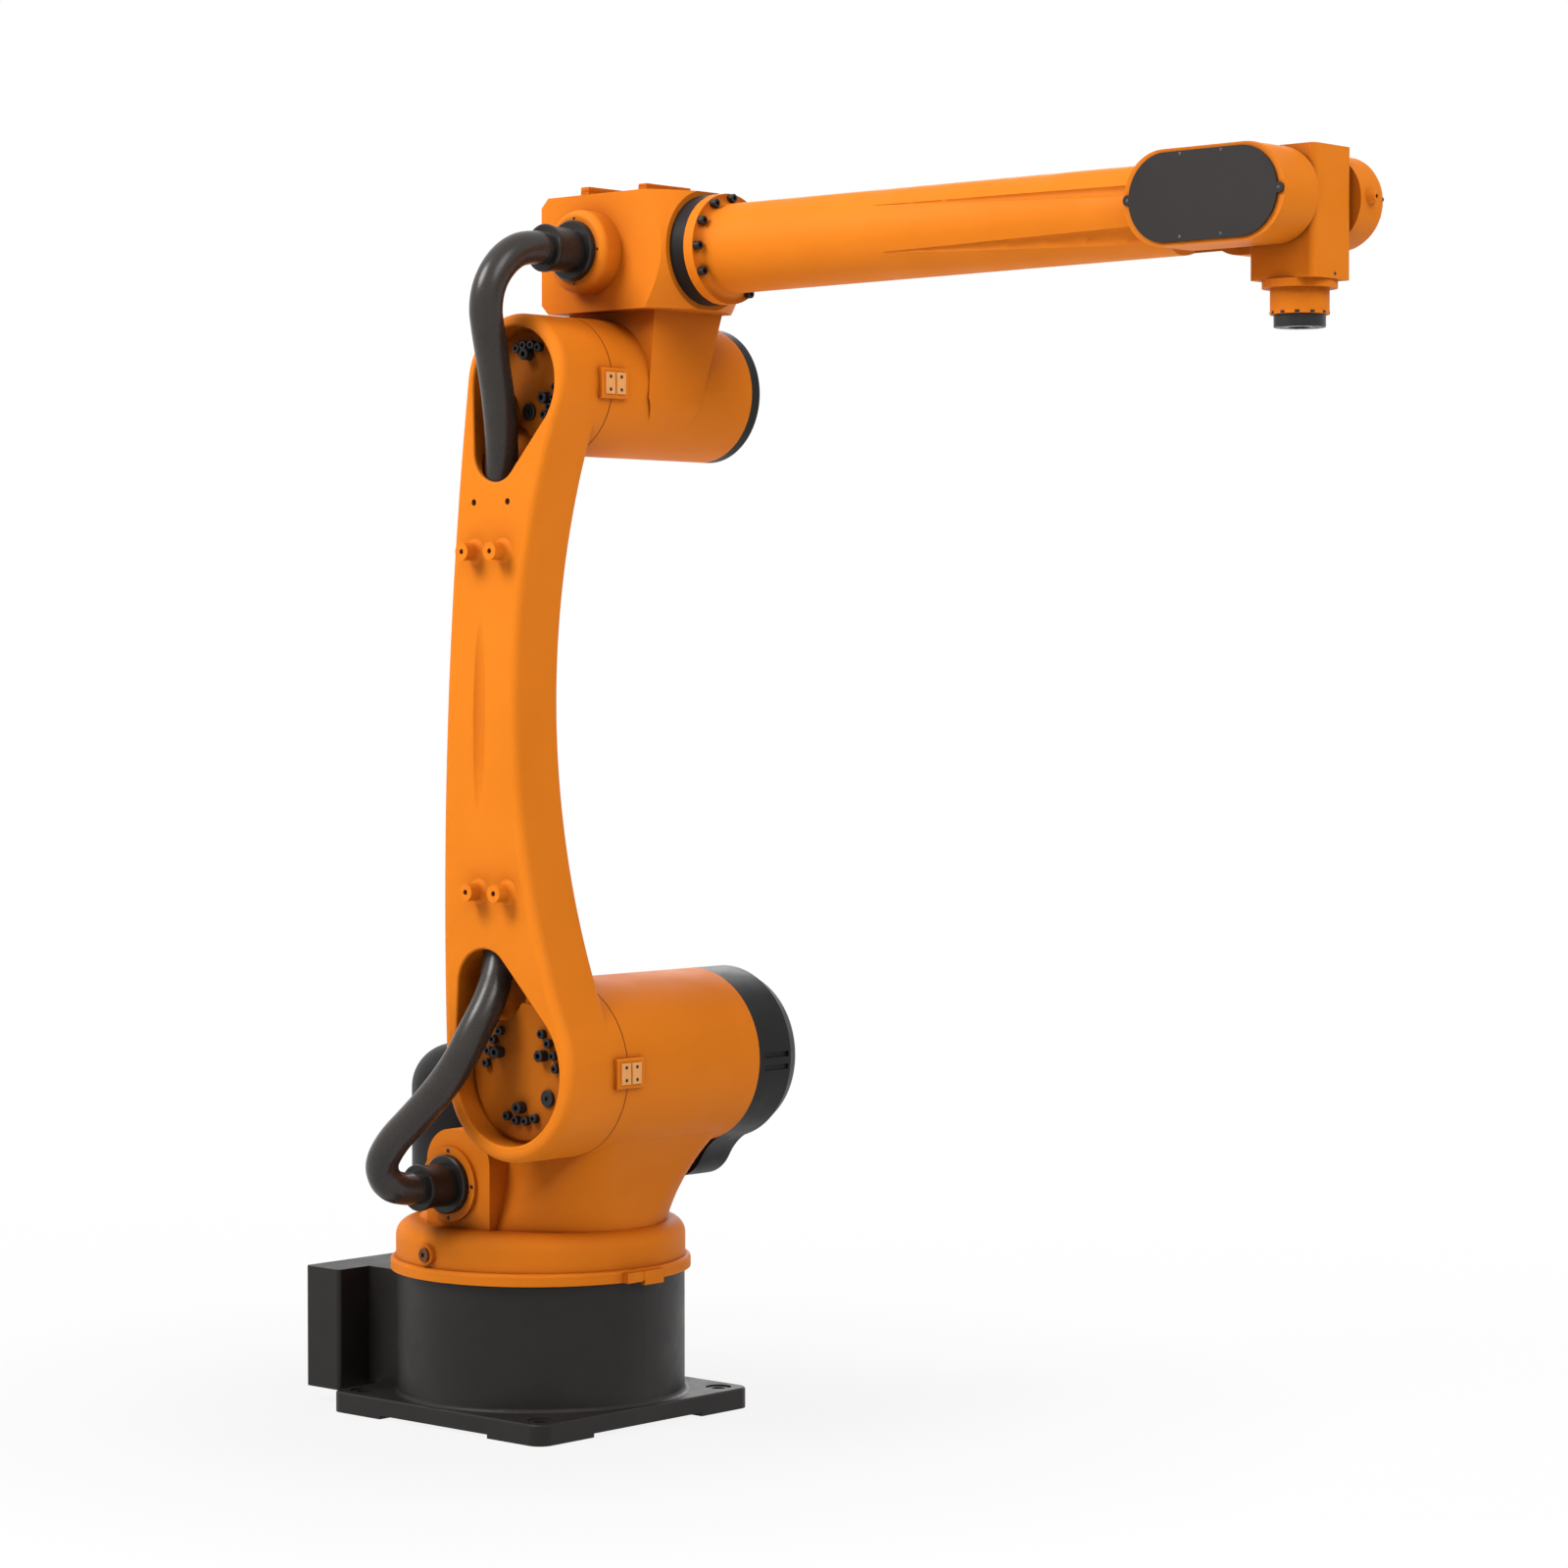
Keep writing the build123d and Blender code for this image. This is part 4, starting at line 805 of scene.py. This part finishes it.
def make_forearm_fittings():
    axis = AXIS["forearm_roll"]
    places = []
    for degrees in FLANGE_SCREW_TURNS:
        turn = radians(degrees)
        offset = Vector((FLANGE_FACE, FLANGE_SCREW_R * cos(turn), FLANGE_SCREW_R * sin(turn)))
        places.append(stand(axis + offset, AHEAD))
    screws("forearm_flange_screws", FLANGE_SCREW, places, "forearm")
    cover_low, cover_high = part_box("belt_cover")
    wrist = AXIS["wrist_bend"]
    points = [(wrist.x - back, wrist.z + rise) for back in BELT_SCREW_BACKS for rise in BELT_SCREW_RISES]
    points += [(cover_low.x + BELT_SCREW_INSET, wrist.z), (cover_high.x - BELT_SCREW_INSET, wrist.z)]
    places = [stand((x, cover_low.y, z), RIGHT) for x, z in points]
    screws("belt_cover_screws", TINY_SCREW, places, "forearm", finish="zinc")


def make_wrist_fittings():
    wrist = AXIS["wrist_bend"]
    arm_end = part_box("forearm_casting")[1].x
    place = stand((arm_end - NIPPLE_SINK, NIPPLE_Y, wrist.z + NIPPLE_RISE), AHEAD)
    mount("wrist_arm_boss", placed(spun(ARM_NIPPLE), place), "orange_paint", "forearm")
    cap_low, cap_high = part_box("wrist_bearing_cap")
    seat = (cap_high.x - CAP_SCREW_SINK, cap_low.y + CAP_SCREW_INSET, wrist.z + CAP_SCREW_RISE)
    screws("bearing_cap_screw", SMALL_SCREW, [stand(seat, AHEAD)], "forearm")
    seat = (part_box("wrist_block")[1].x, BLOCK_SCREW_Y, wrist.z - BLOCK_SCREW_DROP)
    screws("wrist_block_screw", BLOCK_SCREW, [stand(seat, AHEAD)], "wrist")
    reducer_low, reducer_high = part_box("tool_reducer")
    radius = (reducer_high.x - reducer_low.x) / 2
    slot = bevelled_block((radius - SLOT_DEPTH, -SLOT_HALF, SLOT_RISES[0]),
                          (radius + SLOT_PROUD, SLOT_HALF, SLOT_RISES[1]), SLOT_BREAK)
    foot = Matrix.Translation((wrist.x, 0, reducer_low.z))
    turns = [Matrix.Rotation(2 * pi * step / SLOT_COUNT, 4, "Z") for step in range(SLOT_COUNT)]
    slots = gathered([(slot, foot @ turn) for turn in turns])
    slot.free()
    mount("tool_reducer_screw_slots", slots, "black_oxide", "wrist")


# Stage

def background_share(tree):
    """1 for rays that see the background directly or in a gloss, 0 for rays that light the object."""
    path = tree.nodes.new("ShaderNodeLightPath")
    total = path.outputs["Is Camera Ray"]
    for other in ("Is Glossy Ray", "Is Transmission Ray"):
        larger = tree.nodes.new("ShaderNodeMath")
        larger.operation = "MAXIMUM"
        wire(tree, total, larger.inputs[0])
        wire(tree, path.outputs[other], larger.inputs[1])
        total = larger.outputs["Value"]
    return total


def make_world():
    """A soft dome, brighter overhead than at the horizon, and white where it is seen."""
    world = bpy.data.worlds.new("studio")
    bpy.context.scene.world = world
    world.use_nodes = True
    tree = world.node_tree
    ambient = tree.nodes["Background"]
    ambient.inputs["Color"].default_value = DOME_TINT
    height = tree.nodes.new("ShaderNodeSeparateXYZ")
    wire(tree, tree.nodes.new("ShaderNodeTexCoord").outputs["Generated"], height.inputs["Vector"])
    dome = ranged(tree, height.outputs["Z"], (0, 1), (DOME_AT_HORIZON, DOME_OVERHEAD))
    wire(tree, dome, ambient.inputs["Strength"])
    white = tree.nodes.new("ShaderNodeBackground")
    white.inputs["Color"].default_value = WHITE
    mix = tree.nodes.new("ShaderNodeMixShader")
    wire(tree, background_share(tree), mix.inputs["Fac"])
    wire(tree, ambient.outputs["Background"], mix.inputs[1])
    wire(tree, white.outputs["Background"], mix.inputs[2])
    wire(tree, mix.outputs["Shader"], tree.nodes["World Output"].inputs["Surface"])


def floor_finish():
    """A pale floor that glows white where it is seen, less so near the object, where its shadow shows. Near the
    object its own colour is also darker, a painted contact shadow.
    """
    material = bpy.data.materials.new("pale_floor")
    material.use_nodes = True
    tree = material.node_tree
    shade = tree.nodes["Principled BSDF"]
    shade.inputs["Roughness"].default_value = FLOOR_ROUGHNESS
    shade.inputs["Specular IOR Level"].default_value = FLOOR_SPECULAR
    glow = tree.nodes.new("ShaderNodeEmission")
    glow.inputs["Color"].default_value = WHITE
    length = tree.nodes.new("ShaderNodeVectorMath")
    length.operation = "LENGTH"
    wire(tree, tree.nodes.new("ShaderNodeTexCoord").outputs["Object"], length.inputs[0])
    reach = length.outputs["Value"]
    # Painted shadow: the floor's colour is darker close to the robot
    wire(tree, ranged(tree, reach, PAINTED_FLOOR_SHADOW_REACH, PAINTED_FLOOR_SHADOW), shade.inputs["Base Color"])
    share = tree.nodes.new("ShaderNodeMath")
    share.operation = "MULTIPLY"
    wire(tree, ranged(tree, reach, FLOOR_GLOW_REACH, FLOOR_GLOW), share.inputs[0])
    wire(tree, background_share(tree), share.inputs[1])
    mix = tree.nodes.new("ShaderNodeMixShader")
    wire(tree, share.outputs["Value"], mix.inputs["Fac"])
    wire(tree, shade.outputs["BSDF"], mix.inputs[1])
    wire(tree, glow.outputs["Emission"], mix.inputs[2])
    wire(tree, mix.outputs["Shader"], tree.nodes["Material Output"].inputs["Surface"])
    return material


def make_floor():
    bm = bmesh.new()
    bmesh.ops.create_circle(bm, cap_ends=True, segments=FLOOR_SIDES, radius=FLOOR_RADIUS)
    mesh = bpy.data.meshes.new("studio_floor")
    bm.to_mesh(mesh)
    bm.free()
    floor = bpy.data.objects.new("studio_floor", mesh)
    bpy.context.scene.collection.objects.link(floor)
    mesh.materials.append(floor_finish())


def make_lights():
    for name, (at, size, power) in LAMPS.items():
        lamp = bpy.data.lights.new(name, "AREA")
        lamp.shape = "DISK"
        lamp.size = size
        lamp.energy = power
        holder = bpy.data.objects.new(name, lamp)
        holder.location = at
        holder.rotation_euler = (Vector(LAMP_AIM) - Vector(at)).to_track_quat("-Z", "Y").to_euler()
        bpy.context.scene.collection.objects.link(holder)


def make_camera():
    camera = bpy.data.cameras.new("reference_view")
    camera.lens = CAMERA_LENS
    camera.sensor_width = SENSOR
    holder = bpy.data.objects.new("reference_view", camera)
    turn, drop = radians(CAMERA_AZIMUTH), radians(CAMERA_DROP)
    ahead = Vector((-sin(turn) * cos(drop), cos(turn) * cos(drop), -sin(drop)))
    holder.location = CAMERA_AT
    holder.rotation_euler = ahead.to_track_quat("-Z", "Y").to_euler()
    bpy.context.scene.collection.objects.link(holder)
    bpy.context.scene.camera = holder


bpy.context.scene.view_settings.view_transform = "Standard"
make_camera()
make_world()
make_floor()
make_lights()
dress_solids()
make_hoses()
make_gland_lips()
make_reducer_screws()
make_back_rim()
make_boss_flares()
make_hole_shade_discs()
make_seam_rings()
make_zero_mark_plates()
make_turntable_fittings()
make_connector_fittings()
make_web_foot()
make_elbow_fittings()
make_forearm_fittings()
make_wrist_fittings()
